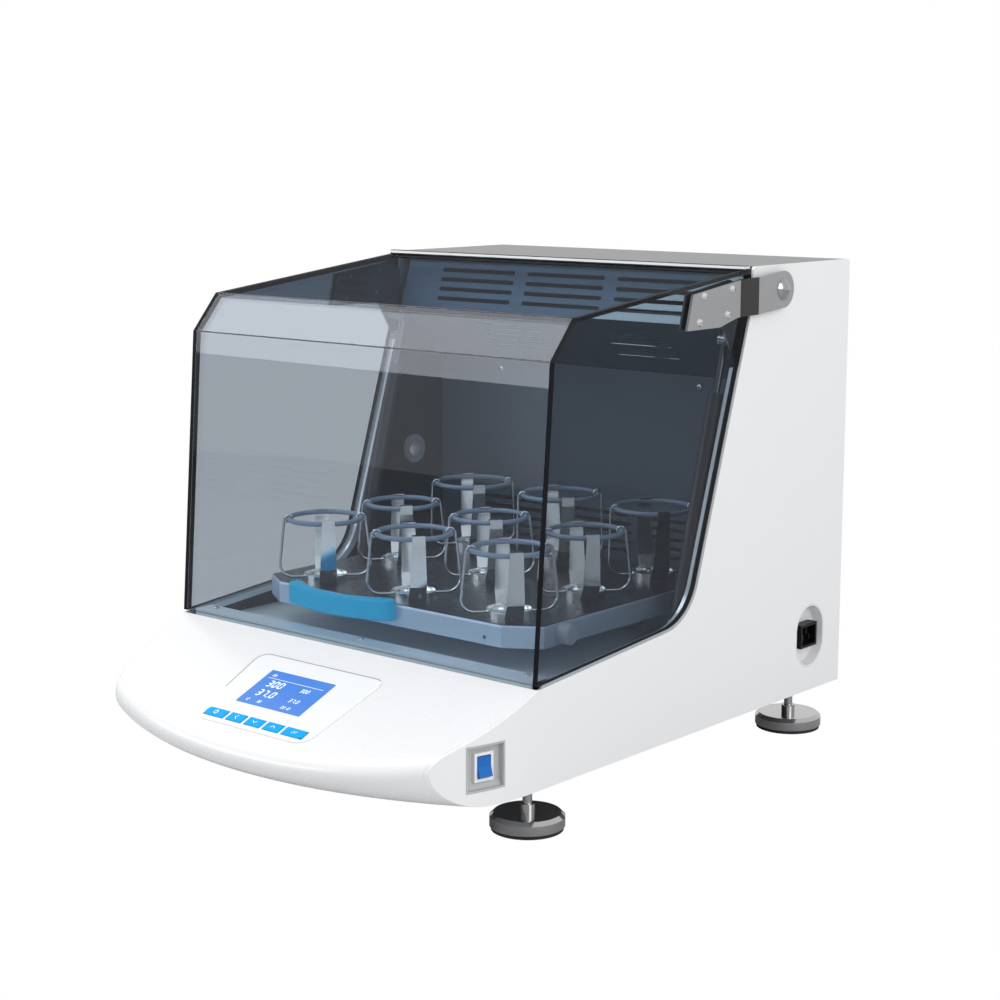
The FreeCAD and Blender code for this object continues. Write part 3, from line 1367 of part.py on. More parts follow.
tray_low = size("tray_top") - size("tray_flange")
tray = slab("tray_blank", "z", [tray_outline(0)], tray_low, "tray_flange")
round_edges(tray, "tray_round", lambda p, w: near(p.z, "tray_top"))
hole_sketch = new_sketch(tray, "clamp_hole", "XY_Plane", tray_low)
hole_span_x = (tray_x - size("hole_inset_x")) * 2
hole_span_y = (tray_y - size("hole_inset_y")) * 2
draw_circle(hole_sketch, -hole_span_x / 2, tray_rest_y - hole_span_y / 2, "hole_radius")
hole_cut = tray.newObject("PartDesign::Pocket", "clamp_hole_cut")
hole_cut.Profile = hole_sketch
hole_cut.Type = 1
hole_cut.Midplane = True
doc.recompute()
hole_field = tray.newObject("PartDesign::MultiTransform", "clamp_hole_field")
hole_field.Originals = [hole_cut]
hole_rows = []
for way, count, span in (("H_Axis", HOLE_COLUMNS, hole_span_x),
                         ("V_Axis", HOLE_ROWS, hole_span_y)):
    row = tray.newObject("PartDesign::LinearPattern", "clamp_holes_" + way)
    row.Direction = (hole_sketch, [way])
    row.Occurrences = count
    row.Length = span.value
    bind(row, "Length", span)
    hole_rows.append(row)
hole_field.Transformations = hole_rows
tray.Tip = hole_field
tray_space = slab("tray_space", "z", [tray_outline("tray_wall")], tray_low - size("tray_skin"),
                  size("tray_flange"))
flange_cuts = [tray_space]
for index, side in enumerate((-1, 1)):
    flange_cuts.append(rod("flange_hole_%d" % (index + 1), size("flange_hole_x") * side,
                           tray_front - size("tray_wall"), "flange_hole_z", "flange_hole",
                           size("tray_wall") * 3, "y"))
knob_spot = tray_front + size("knob_setback")
flange_cuts.append(rod("knob_hole", tray_x - size("tray_wall") * 2, knob_spot, "knob_z",
                       size("knob_stem") + size("run_gap"), size("tray_wall") * 3, "x"))
tray_shell = cut("tray_shell", tray, group("tray_cuts", flange_cuts))
tray_under = size("tray_top") - size("tray_skin")
boss = turned("tray_boss", [
    (size("crank_pin") + size("run_gap"), "boss_low"),
    ("boss_radius", "boss_low"),
    ("boss_radius", tray_under),
    (0, tray_under),
    (0, "bore_top"),
    (size("crank_pin") + size("run_gap"), "bore_top"),
])
bosses = copies("tray_bosses", boss, [(x, y - size("orbit_radius"), 0) for x, y in shaft_spots])
node("platform_tray", fuse("platform_tray", [tray_shell, bosses]))


def arc_middle(span, bow):
    """Distance from the chord to the centre of the arc that stands off it by the bow."""
    span = size(span)
    bow = size(bow)
    return (span * span / 4 - bow * bow) / (bow * 2)


grip_x = -size("handle_shift")
half_span = size("handle_span") / 2
half_grip = size("grip_span") / 2
grip_low = tray_front - size("grip_bow") - size("run_gap")
end_y = tray_front - size("handle_end")
handle_middle = end_y + arc_middle("handle_span", size("handle_bow") - size("handle_end"))
grip_middle = tray_front + arc_middle("grip_span", "grip_bow")
handle = slab("platform_handle", "z", [[
    (grip_x - half_span, tray_front),
    (grip_x - half_span, end_y, ("v", handle_middle, grip_x, handle_middle, True)),
    (grip_x + half_span, end_y),
    (grip_x + half_span, tray_front),
    (grip_x + half_grip, tray_front, ("v", grip_middle, grip_x, grip_middle, False)),
    (grip_x - half_grip, tray_front),
]], "handle_low", size("handle_high") - size("handle_low"))
round_edges(handle, "handle_corner", lambda p, w: abs(w.z) > 0.9 and near(p.y, end_y))
round_edges(handle, "handle_round", lambda p, w: abs(w.z) < 0.1
            and p.y < tray_front.value - size("run_gap").value
            and (p.y < grip_low.value or abs(p.x - grip_x.value) > half_grip.value))
node("platform_handle", handle)

knob_back = -size("tray_wall") - size("fit_gap")
node("platform_knob", turned("platform_knob", [
    (0, knob_back - size("knob_nut_thick")),
    ("knob_nut", knob_back - size("knob_nut_thick")),
    ("knob_nut", knob_back),
    ("knob_stem", knob_back),
    ("knob_stem", "fit_gap"),
    ("knob_radius", "fit_gap"),
    ("knob_radius", size("knob_long") - size("knob_round")),
    (size("knob_radius") - size("knob_round"), "knob_long"),
    (0, "knob_long"),
], (tray_x, knob_spot, "knob_z"), V(0, 1, 0), 90))


# Flask clamps: a sprung strap and a wire on each, holding a sleeved ring
def clamp_strap(name, ring, high):
    """A strap bent up on both sides of a small dish that the wire crosses."""
    ring, high = size(ring), size(high)
    thin = size("strap_thick")
    foot = size("strap_foot")
    out = ring + size("ring_tube") + size("fit_gap")
    over = high + size("ring_tube") + size("fit_gap")
    half = [
        (foot, 0),
        (size("strap_bend_x") + thin, "strap_bend_z"),
        (out + thin, high - size("hook_in")),
        (out + thin, over + thin),
        (ring - size("hook_in") / 2, over + thin),
        (ring - size("hook_in") / 2, over),
        (out, over),
        (out, high - size("hook_in")),
        ("strap_bend_x", size("strap_bend_z") + thin / 4),
        (foot - thin / 2, thin),
    ]
    loop = half + [(-size(u), v) for u, v in reversed(half)]
    bent = slab(name + "_bent", "y", [loop], -size("strap_wide") / 2, "strap_wide")
    taper = slab(name + "_taper", "x", [[
        (-size("strap_wide") / 2, 0),
        (size("strap_wide") / 2, 0),
        (size("strap_wide") / 2, thin),
        (size("strap_tip") / 2, over + thin),
        (-size("strap_tip") / 2, over + thin),
        (-size("strap_wide") / 2, thin),
    ]], -out * 2, out * 4)
    dish_in = size("dish_radius") - thin
    dish = turned(name + "_dish", [
        (0, 0),
        ("dish_radius", 0),
        ("dish_radius", "dish_rim"),
        (dish_in, "dish_rim"),
        (dish_in, thin),
        (0, thin),
    ])
    notch_half = size("wire_radius") + size("fit_gap")
    notch = box(name + "_notch", -notch_half, -foot, thin, notch_half * 2, foot * 2, "dish_rim")
    strip = common(name + "_strip", bent, taper)
    return fuse(name, [strip, cut(name + "_dish_notched", dish, notch)])


def clamp_wire(name, ring, high):
    """A wire that crosses the dish and turns up at both ends to lean on the ring."""
    ring, high = size(ring), size(high)
    radius = size("wire_radius")
    bend = size("wire_bend")
    base = size("strap_thick") + radius
    centre_x = size("wire_bulge") - bend
    rise = high + radius - base - bend
    run = ring + size("ring_tube") + radius + size("fit_gap") * 3 - centre_x
    leg_long = root(run * run + rise * rise - bend * bend)
    lean = slope_angle(rise, run) - slope_angle(leg_long, bend)
    sweep = slope_angle(rise, run) + slope_angle(bend, leg_long)
    knee = doc.addObject("Part::Torus", name + "_knee")
    knee.Radius1 = bend.value
    knee.Radius2 = radius.value
    knee.Angle3 = sweep.value
    bind(knee, "Radius1", bend)
    bind(knee, "Radius2", radius)
    bind(knee, "Angle3", sweep)
    place(knee, centre_x, 0, base + bend)
    knee.Placement.Rotation = FreeCAD.Rotation(V(1, 0, 0), 90) * FreeCAD.Rotation(V(0, 0, 1), -90)
    leg = rod(name + "_leg", centre_x + bend * cosine(lean), 0, base + bend + bend * sine(lean),
              radius, leg_long)
    leg.Placement.Rotation = FreeCAD.Rotation(V(0, 1, 0), -lean.value)
    bind(leg, "Placement.Rotation.Angle", -lean)
    end = fuse(name + "_right", [knee, leg])
    flat = rod(name + "_base", -centre_x, 0, base, radius, centre_x * 2, "x")
    return fuse(name, [flat, end, mirror(name + "_left", end)])


def clamp_ring(name, ring, high):
    item = doc.addObject("Part::Torus", name)
    item.Radius1 = size(ring).value
    item.Radius2 = size("ring_tube").value
    bind(item, "Radius1", ring)
    bind(item, "Radius2", "ring_tube")
    return place(item, 0, 0, high)


clamp_pitch_x = tray_x - size("clamp_inset_x")
clamp_pitch_y = tray_y - size("clamp_inset_y")
clamp_y = tray_rest_y + size("clamp_back") / 3
front_spots = []
rear_spots = []
for row in (-1, 0, 1):
    for column in (-1, 0, 1):
        spot = (clamp_pitch_x * column, clamp_y + clamp_pitch_y * row,
                size("tray_top"), V(0, 0, 1), -size("clamp_turn"))
        if row == 1:
            rear_spots.append(spot)
        else:
            front_spots.append(spot)
CLAMP_PARTS = (("clamp_straps", clamp_strap, 0), ("clamp_wires", clamp_wire, 90),
               ("clamp_rings", clamp_ring, 0))
for label, maker, turn in CLAMP_PARTS:
    small = maker(label + "_small", "clamp_ring", "clamp_high")
    large = maker(label + "_large", "rear_ring", "rear_high")
    node(label, group(label, [
        copies(label + "_front", small, [spot[:4] + (spot[4] + turn,) for spot in front_spots]),
        copies(label + "_rear", large, [spot[:4] + (spot[4] + turn,) for spot in rear_spots]),
    ]))

# Orbital drive under the floor
disc_low = size("floor_top") + size("crank_lift")
disc_top = disc_low + size("crank_thick")
DRIVES = (("drive_crank", "crank_shaft", "shaft_low", "crank_disc"),
          ("idler_crank_right", "idler_shaft", "housing_under", "idler_disc"),
          ("idler_crank_left", "idler_shaft", "housing_under", "idler_disc"))
for (label, shaft_size, shaft_bottom, disc_size), spot in zip(DRIVES, shaft_spots):
    shaft = turned(label + "_shaft", [
        (0, shaft_bottom),
        (shaft_size, shaft_bottom),
        (shaft_size, disc_low),
        (disc_size, disc_low),
        (disc_size, disc_top),
        (0, disc_top),
    ], (spot[0], spot[1], 0))
    pin = rod(label + "_pin", spot[0], spot[1] - size("orbit_radius"), disc_top, "crank_pin",
              size("pin_top") - disc_top)
    node(label, fuse(label, [shaft, pin]))

housing_top = size("floor_top") - skin


def housing(name, bore):
    bore = size(bore) + size("run_gap")
    return turned(name, [
        (bore, "housing_low"),
        ("housing_radius", "housing_low"),
        ("housing_radius", housing_top - size("housing_plate")),
        ("housing_flange", housing_top - size("housing_plate")),
        ("housing_flange", housing_top),
        (bore, housing_top),
    ])


drive_housing = housing("drive_housing", "crank_shaft")
idler_housing = housing("idler_housing", "idler_shaft")
node("bearing_housings", group("bearing_housings", [
    copies("drive_housing_set", drive_housing, [(0, drive_y, 0)]),
    copies("idler_housing_set", idler_housing, [(x, y, 0) for x, y in shaft_spots[1:]]),
]))


def pulley(name, radius, bore, y):
    rim = size("pulley_wide") / 7
    low = size("pulley_low")
    return turned(name, [
        (bore, low),
        (size(radius) + rim, low),
        (size(radius) + rim, low + rim),
        (radius, low + rim),
        (radius, low + size("pulley_wide") - rim),
        (size(radius) + rim, low + size("pulley_wide") - rim),
        (size(radius) + rim, low + size("pulley_wide")),
        (bore, low + size("pulley_wide")),
    ], (0, y, 0))


node("drive_pulley", pulley("drive_pulley", "pulley_radius", "crank_shaft", drive_y))
node("motor_pulley", pulley("motor_pulley", "motor_pulley_radius", "motor_shaft", motor_y))
motor = turned("drive_motor", [
    (0, "motor_shaft_low"),
    (size("motor_shaft") - size("run_gap"), "motor_shaft_low"),
    (size("motor_shaft") - size("run_gap"), "motor_low"),
    ("motor_radius", "motor_low"),
    ("motor_radius", housing_top),
    (0, housing_top),
], (0, motor_y, 0))
node("drive_motor", motor)

reach = (size("pulley_radius") - size("motor_pulley_radius")) / size("motor_back")
across = root(1 - reach * reach)


def belt_loop(grow):
    big = size("pulley_radius") + size(grow)
    small = size("motor_pulley_radius") + size(grow)
    return [
        (big * across, drive_y - big * reach, ("v", drive_y, 0, drive_y, True)),
        (-big * across, drive_y - big * reach),
        (-small * across, motor_y - small * reach, ("v", motor_y, 0, motor_y, True)),
        (small * across, motor_y - small * reach),
    ]


belt_inner = size("fit_gap")
belt_lift = (size("pulley_wide") - size("belt_wide")) / 2
node("drive_belt", slab("drive_belt", "z", [
    belt_loop(belt_inner + size("belt_thick")),
    belt_loop(belt_inner),
], size("pulley_low") + belt_lift, "belt_wide"))

# Circulation fan in the duct behind the vents
fan_end = sheet_x - size("fan_inset")
fan_start = -fan_end
fan_long = fan_end * 2
fan_parts = []
for index, start in enumerate((fan_start, -fan_start - size("fan_web"))):
    disc = rod("fan_disc_%d" % (index + 1), start, fan_y, fan_z, "fan_radius",
               "fan_web", "x")
    fan_parts.append(disc)
blade = slab("fan_blade", "x", [[
    ("fan_bore", -size("fan_blade") / 2),
    (size("fan_radius") - size("fan_web") / 4, 0),
    (size("fan_radius") - size("fan_web") / 4, size("fan_blade")),
    ("fan_bore", size("fan_blade") / 2),
]], fan_start + size("fan_web") / 2, fan_long - size("fan_web"))
for index in range(BLADES):
    link = doc.addObject("App::Link", "fan_blade_%d" % (index + 1))
    link.LinkedObject = blade
    place(link, 0, fan_y, fan_z, V(1, 0, 0), 360 * index / BLADES + 1)
    fan_parts.append(link)
fan_parts.append(rod("fan_hub", fan_start, fan_y, fan_z, "fan_shaft", fan_long, "x"))
fan_hole = rod("fan_hole", fan_start - size("fan_web"), fan_y, fan_z,
               size("motor_shaft") / 2, fan_long + size("fan_web") * 2, "x")
node("fan_wheel", cut("fan_wheel", fuse("fan_solid", fan_parts), fan_hole))
motor_can = rod("fan_motor_can", fan_end + size("fan_end"), fan_y, fan_z,
                "fan_motor_radius", "fan_motor_long", "x")
motor_shaft = rod("fan_motor_shaft", fan_start, fan_y, fan_z,
                  size("motor_shaft") / 2 - size("run_gap"),
                  fan_long + size("fan_end") + size("fan_web"), "x")
fan_plate = box("fan_plate", fan_end + size("fan_end") + size("fan_motor_long"),
                fan_y - size("fan_radius"), fan_z - size("fan_radius"),
                sheet_x - fan_end - size("fan_end") - size("fan_motor_long"),
                size("fan_radius") * 2, size("fan_radius") * 2)
node("fan_motor", fuse("fan_motor", [motor_can, motor_shaft, fan_plate]))

# Check every object, then write each sub-part
doc.recompute()
for item in doc.Objects:
    if "Invalid" in item.State or "Error" in item.State:
        raise RuntimeError("%s failed: %s" % (item.Name, item.State))
for label, item in NODES.items():
    if item.Shape.isNull() or not item.Shape.isValid():
        raise RuntimeError("%s has no valid shape" % label)
    if not item.Shape.Solids:
        raise RuntimeError("%s has no solid" % label)
os.makedirs("parts", exist_ok=True)
for label, item in NODES.items():
    item.Shape.exportStep("parts/%s.step" % label)
    print(label, len(item.Shape.Solids), round(item.Shape.Volume))
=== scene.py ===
import math

import bpy
from mathutils import Matrix, Vector


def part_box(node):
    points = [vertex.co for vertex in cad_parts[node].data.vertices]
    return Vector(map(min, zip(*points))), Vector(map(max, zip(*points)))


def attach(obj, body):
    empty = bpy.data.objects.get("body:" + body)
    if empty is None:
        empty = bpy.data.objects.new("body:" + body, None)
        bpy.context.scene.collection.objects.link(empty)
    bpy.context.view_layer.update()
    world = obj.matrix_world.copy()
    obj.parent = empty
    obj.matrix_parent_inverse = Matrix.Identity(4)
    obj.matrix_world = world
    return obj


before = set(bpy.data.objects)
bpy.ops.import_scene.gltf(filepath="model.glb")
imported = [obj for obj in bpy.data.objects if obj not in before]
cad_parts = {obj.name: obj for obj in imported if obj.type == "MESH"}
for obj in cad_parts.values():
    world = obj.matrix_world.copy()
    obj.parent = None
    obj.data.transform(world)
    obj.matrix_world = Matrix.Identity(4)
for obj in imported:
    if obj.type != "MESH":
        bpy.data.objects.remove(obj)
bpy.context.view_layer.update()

MM = 0.001


# Node materials

def new_material(name):
    """A material with an empty node tree and its output node."""
    material = bpy.data.materials.new(name)
    material.use_nodes = True
    tree = material.node_tree
    tree.nodes.clear()
    output = tree.nodes.new("ShaderNodeOutputMaterial")
    return material, tree, output


def add_node(tree, kind, **settings):
    """A node of a kind with its own settings, such as a Math node's operation."""
    node = tree.nodes.new(kind)
    for key, value in settings.items():
        setattr(node, key, value)
    return node


def fine_noise(tree, scale, stretch=(1, 1, 1), detail=3.0):
    """Noise on the object's own coordinates, stretched along an axis for brushing."""
    place = add_node(tree, "ShaderNodeTexCoord")
    mapping = add_node(tree, "ShaderNodeMapping")
    mapping.inputs["Scale"].default_value = stretch
    tree.links.new(place.outputs["Object"], mapping.inputs["Vector"])
    noise = add_node(tree, "ShaderNodeTexNoise")
    noise.inputs["Scale"].default_value = scale
    noise.inputs["Detail"].default_value = detail
    tree.links.new(mapping.outputs["Vector"], noise.inputs["Vector"])
    return noise


def remap(tree, source, low, high):
    """Stretch a value of 0 to 1 over another range."""
    node = add_node(tree, "ShaderNodeMapRange")
    node.inputs["To Min"].default_value = low
    node.inputs["To Max"].default_value = high
    tree.links.new(source, node.inputs["Value"])
    return node.outputs["Result"]


COAT_ROUGHNESS = 0.08


def principled(tree, colour, roughness, metallic=0.0, coat=0.0, specular=0.5):
    """The plain surface shader that every opaque material here starts from."""
    shader = add_node(tree, "ShaderNodeBsdfPrincipled")
    shader.inputs["Base Color"].default_value = (*colour, 1)
    shader.inputs["Roughness"].default_value = roughness
    shader.inputs["Metallic"].default_value = metallic
    shader.inputs["Coat Weight"].default_value = coat
    shader.inputs["Coat Roughness"].default_value = COAT_ROUGHNESS
    shader.inputs["Specular IOR Level"].default_value = specular
    return shader


SMOOTHEST = 0.02
RELIEF_DEPTH = 0.4 * MM


def finish_surface(name, colour, roughness, metallic=0.0, grain=600.0, bump=0.0,
                   stretch=(1, 1, 1), vary=0.06, coat=0.0, specular=0.5):
    """Paint, plastic or metal with a fine grain in its roughness and its relief."""
    material, tree, output = new_material(name)
    shader = principled(tree, colour, roughness, metallic, coat, specular)
    noise = fine_noise(tree, grain, stretch)
    rough = remap(tree, noise.outputs["Fac"], max(roughness - vary, SMOOTHEST),
                  roughness + vary)
    tree.links.new(rough, shader.inputs["Roughness"])
    if bump:
        relief = add_node(tree, "ShaderNodeBump")
        relief.inputs["Strength"].default_value = bump
        relief.inputs["Distance"].default_value = RELIEF_DEPTH
        tree.links.new(noise.outputs["Fac"], relief.inputs["Height"])
        tree.links.new(relief.outputs["Normal"], shader.inputs["Normal"])
    tree.links.new(shader.outputs["BSDF"], output.inputs["Surface"])
    return material


def axis_mask(tree, axis, edge):
    """1 where the face looks along the axis, 0 elsewhere."""
    geometry = add_node(tree, "ShaderNodeNewGeometry")
    split = add_node(tree, "ShaderNodeSeparateXYZ")
    tree.links.new(geometry.outputs["True Normal"], split.inputs[0])
    size = add_node(tree, "ShaderNodeMath", operation="ABSOLUTE")
    tree.links.new(split.outputs[axis], size.inputs[0])
    over = add_node(tree, "ShaderNodeMath", operation="GREATER_THAN")
    over.inputs[1].default_value = edge
    tree.links.new(size.outputs[0], over.inputs[0])
    return over.outputs[0]


def height_mask(tree, level):
    """1 above a height in the object's own frame, 0 below it."""
    place = add_node(tree, "ShaderNodeTexCoord")
    split = add_node(tree, "ShaderNodeSeparateXYZ")
    tree.links.new(place.outputs["Object"], split.inputs[0])
    over = add_node(tree, "ShaderNodeMath", operation="GREATER_THAN")
    over.inputs[1].default_value = level
    tree.links.new(split.outputs["Z"], over.inputs[0])
    return over.outputs[0]


def band_mask(tree, axis, low, high):
    """1 between two places along an axis of the object's own frame, 0 elsewhere."""
    place = add_node(tree, "ShaderNodeTexCoord")
    split = add_node(tree, "ShaderNodeSeparateXYZ")
    tree.links.new(place.outputs["Object"], split.inputs[0])
    inside = add_node(tree, "ShaderNodeMath", operation="COMPARE")
    inside.inputs[1].default_value = (low + high) / 2
    inside.inputs[2].default_value = (high - low) / 2
    tree.links.new(split.outputs[axis], inside.inputs[0])
    return inside.outputs[0]


def mix_shaders(tree, fac, first, second):
    """The first shader where the mask is 0, the second where it is 1."""
    mix = add_node(tree, "ShaderNodeMixShader")
    tree.links.new(fac, mix.inputs["Fac"])
    tree.links.new(first, mix.inputs[1])
    tree.links.new(second, mix.inputs[2])
    return mix.outputs["Shader"]


SIDEWAYS = 0.7
ASLANT_TIMES = 6
ASLANT_FROM, ASLANT_TO = 0.5, 0.85
SKIN_SQUARE, SKIN_ASLANT = 0.03, 0.045
SKIN_RISE = 4.0


def acrylic(name, tint, faces_sideways):
    """Clear smoked sheet with a mirror-like skin and dark cut edges.

    Seen aslant the light crosses more of the sheet, so the tint deepens there.
    """
    material, tree, output = new_material(name)
    square = add_node(tree, "ShaderNodeBsdfTransparent")
    square.inputs["Color"].default_value = (*tint, 1)
    aslant = add_node(tree, "ShaderNodeBsdfTransparent")
    aslant.inputs["Color"].default_value = (*(share ** ASLANT_TIMES for share in tint), 1)
    gloss = add_node(tree, "ShaderNodeBsdfGlossy")
    gloss.inputs["Roughness"].default_value = 0.0
    gloss.inputs["Color"].default_value = (0.9, 0.93, 1.0, 1)
    glance = add_node(tree, "ShaderNodeLayerWeight")
    glance.inputs["Blend"].default_value = 0.5
    depth = add_node(tree, "ShaderNodeMapRange")
    depth.inputs["From Min"].default_value = ASLANT_FROM
    depth.inputs["From Max"].default_value = ASLANT_TO
    tree.links.new(glance.outputs["Facing"], depth.inputs["Value"])
    clear = mix_shaders(tree, depth.outputs["Result"], square.outputs[0], aslant.outputs[0])
    rise = add_node(tree, "ShaderNodeMath", operation="POWER")
    rise.inputs[1].default_value = SKIN_RISE
    tree.links.new(glance.outputs["Facing"], rise.inputs[0])
    skin = remap(tree, rise.outputs[0], SKIN_SQUARE, SKIN_ASLANT)
    sheet = mix_shaders(tree, skin, clear, gloss.outputs[0])
    edge = principled(tree, (0.008, 0.009, 0.011), 0.5, specular=0.04)
    sideways = axis_mask(tree, "X", SIDEWAYS)
    skins = (edge.outputs[0], sheet) if faces_sideways else (sheet, edge.outputs[0])
    tree.links.new(mix_shaders(tree, sideways, *skins), output.inputs["Surface"])
    return material


SCREEN_GLOW = 0.62


def screen_surface(name):
    """Backlit display: a blue field that glows a little unevenly."""
    material, tree, output = new_material(name)
    shader = principled(tree, (0.02, 0.09, 0.28), 0.2, specular=0.3)
    noise = fine_noise(tree, 6.0)
    ramp = add_node(tree, "ShaderNodeValToRGB")
    ramp.color_ramp.elements[0].color = (0.06, 0.21, 0.68, 1)
    ramp.color_ramp.elements[1].color = (0.13, 0.33, 0.92, 1)
    tree.links.new(noise.outputs["Fac"], ramp.inputs["Fac"])
    tree.links.new(ramp.outputs["Color"], shader.inputs["Emission Color"])
    shader.inputs["Emission Strength"].default_value = SCREEN_GLOW
    tree.links.new(shader.outputs["BSDF"], output.inputs["Surface"])
    return material


def glowing(name, colour, strength):
    """Light print that reads white on the display and the keys. Its glow is the display's backlight
    on the display and painted light on the keys.
    """
    material, tree, output = new_material(name)
    shader = principled(tree, colour, 0.4)
    noise = fine_noise(tree, 200.0)
    tree.links.new(remap(tree, noise.outputs["Fac"], 0.35, 0.45), shader.inputs["Roughness"])
    shader.inputs["Emission Color"].default_value = (*colour, 1)
    shader.inputs["Emission Strength"].default_value = strength
    tree.links.new(shader.outputs["BSDF"], output.inputs["Surface"])
    return material


def tray_surface(name, top):
    """Platform: bright folded sides; its top is a thin band painted dark, a painted dark
    reflection.
    """
    material, tree, output = new_material(name)
    # dark: painted dark reflection on the tray's top
    dark = principled(tree, (0.014, 0.024, 0.036), 0.30, 0.3)
    bright = principled(tree, (0.50, 0.64, 0.79), 0.33, 0.4)
    noise = fine_noise(tree, 500.0, (1, 30, 30))
    for shader, low, high in ((dark, 0.2, 0.36), (bright, 0.26, 0.4)):
        tree.links.new(remap(tree, noise.outputs["Fac"], low, high), shader.inputs["Roughness"])
    tree.links.new(mix_shaders(tree, height_mask(tree, top), bright.outputs[0], dark.outputs[0]),
                   output.inputs["Surface"])
    return material


def arm_surface(name, low, high):
    """Hood arm: satin grey, painted black where it steps out past the cabinet, as a painted dark
    reflection.
    """
    material, tree, output = new_material(name)
    grey = principled(tree, (0.36, 0.36, 0.36), 0.34, 0.6)
    # black: painted dark reflection on the arm's outward step
    black = principled(tree, (0.012, 0.012, 0.013), 0.4)
    noise = fine_noise(tree, 300.0, (1, 1, 25))
    tree.links.new(remap(tree, noise.outputs["Fac"], 0.28, 0.40), grey.inputs["Roughness"])
    tree.links.new(mix_shaders(tree, band_mask(tree, "Y", low, high), grey.outputs[0],
                               black.outputs[0]), output.inputs["Surface"])
    return material


def rail_surface(name, low, high):
    """Rear rail of the hood: black, with a painted highlight as a bright line along its face."""
    material, tree, output = new_material(name)
    black = principled(tree, (0.01, 0.01, 0.012), 0.35, specular=0.2)
    # bright: painted highlight line along the rail
    bright = principled(tree, (0.72, 0.74, 0.76), 0.25, 0.3)
    noise = fine_noise(tree, 300.0, (25, 1, 1))
    tree.links.new(remap(tree, noise.outputs["Fac"], 0.2, 0.3), bright.inputs["Roughness"])
    tree.links.new(mix_shaders(tree, band_mask(tree, "Z", low, high), black.outputs[0],
                               bright.outputs[0]), output.inputs["Surface"])
    return material


def foot_surface(name, rubber_top):
    """Levelling foot: chrome above, rubber pad below."""
    material, tree, output = new_material(name)
    chrome = principled(tree, (0.42, 0.42, 0.42), 0.10, 1.0)
    rubber = principled(tree, (0.015, 0.015, 0.015), 0.7)
    noise = fine_noise(tree, 300.0, (1, 1, 20))
    tree.links.new(remap(tree, noise.outputs["Fac"], 0.06, 0.16), chrome.inputs["Roughness"])
    tree.links.new(mix_shaders(tree, height_mask(tree, rubber_top), rubber.outputs[0],
                               chrome.outputs[0]), output.inputs["Surface"])
    return material


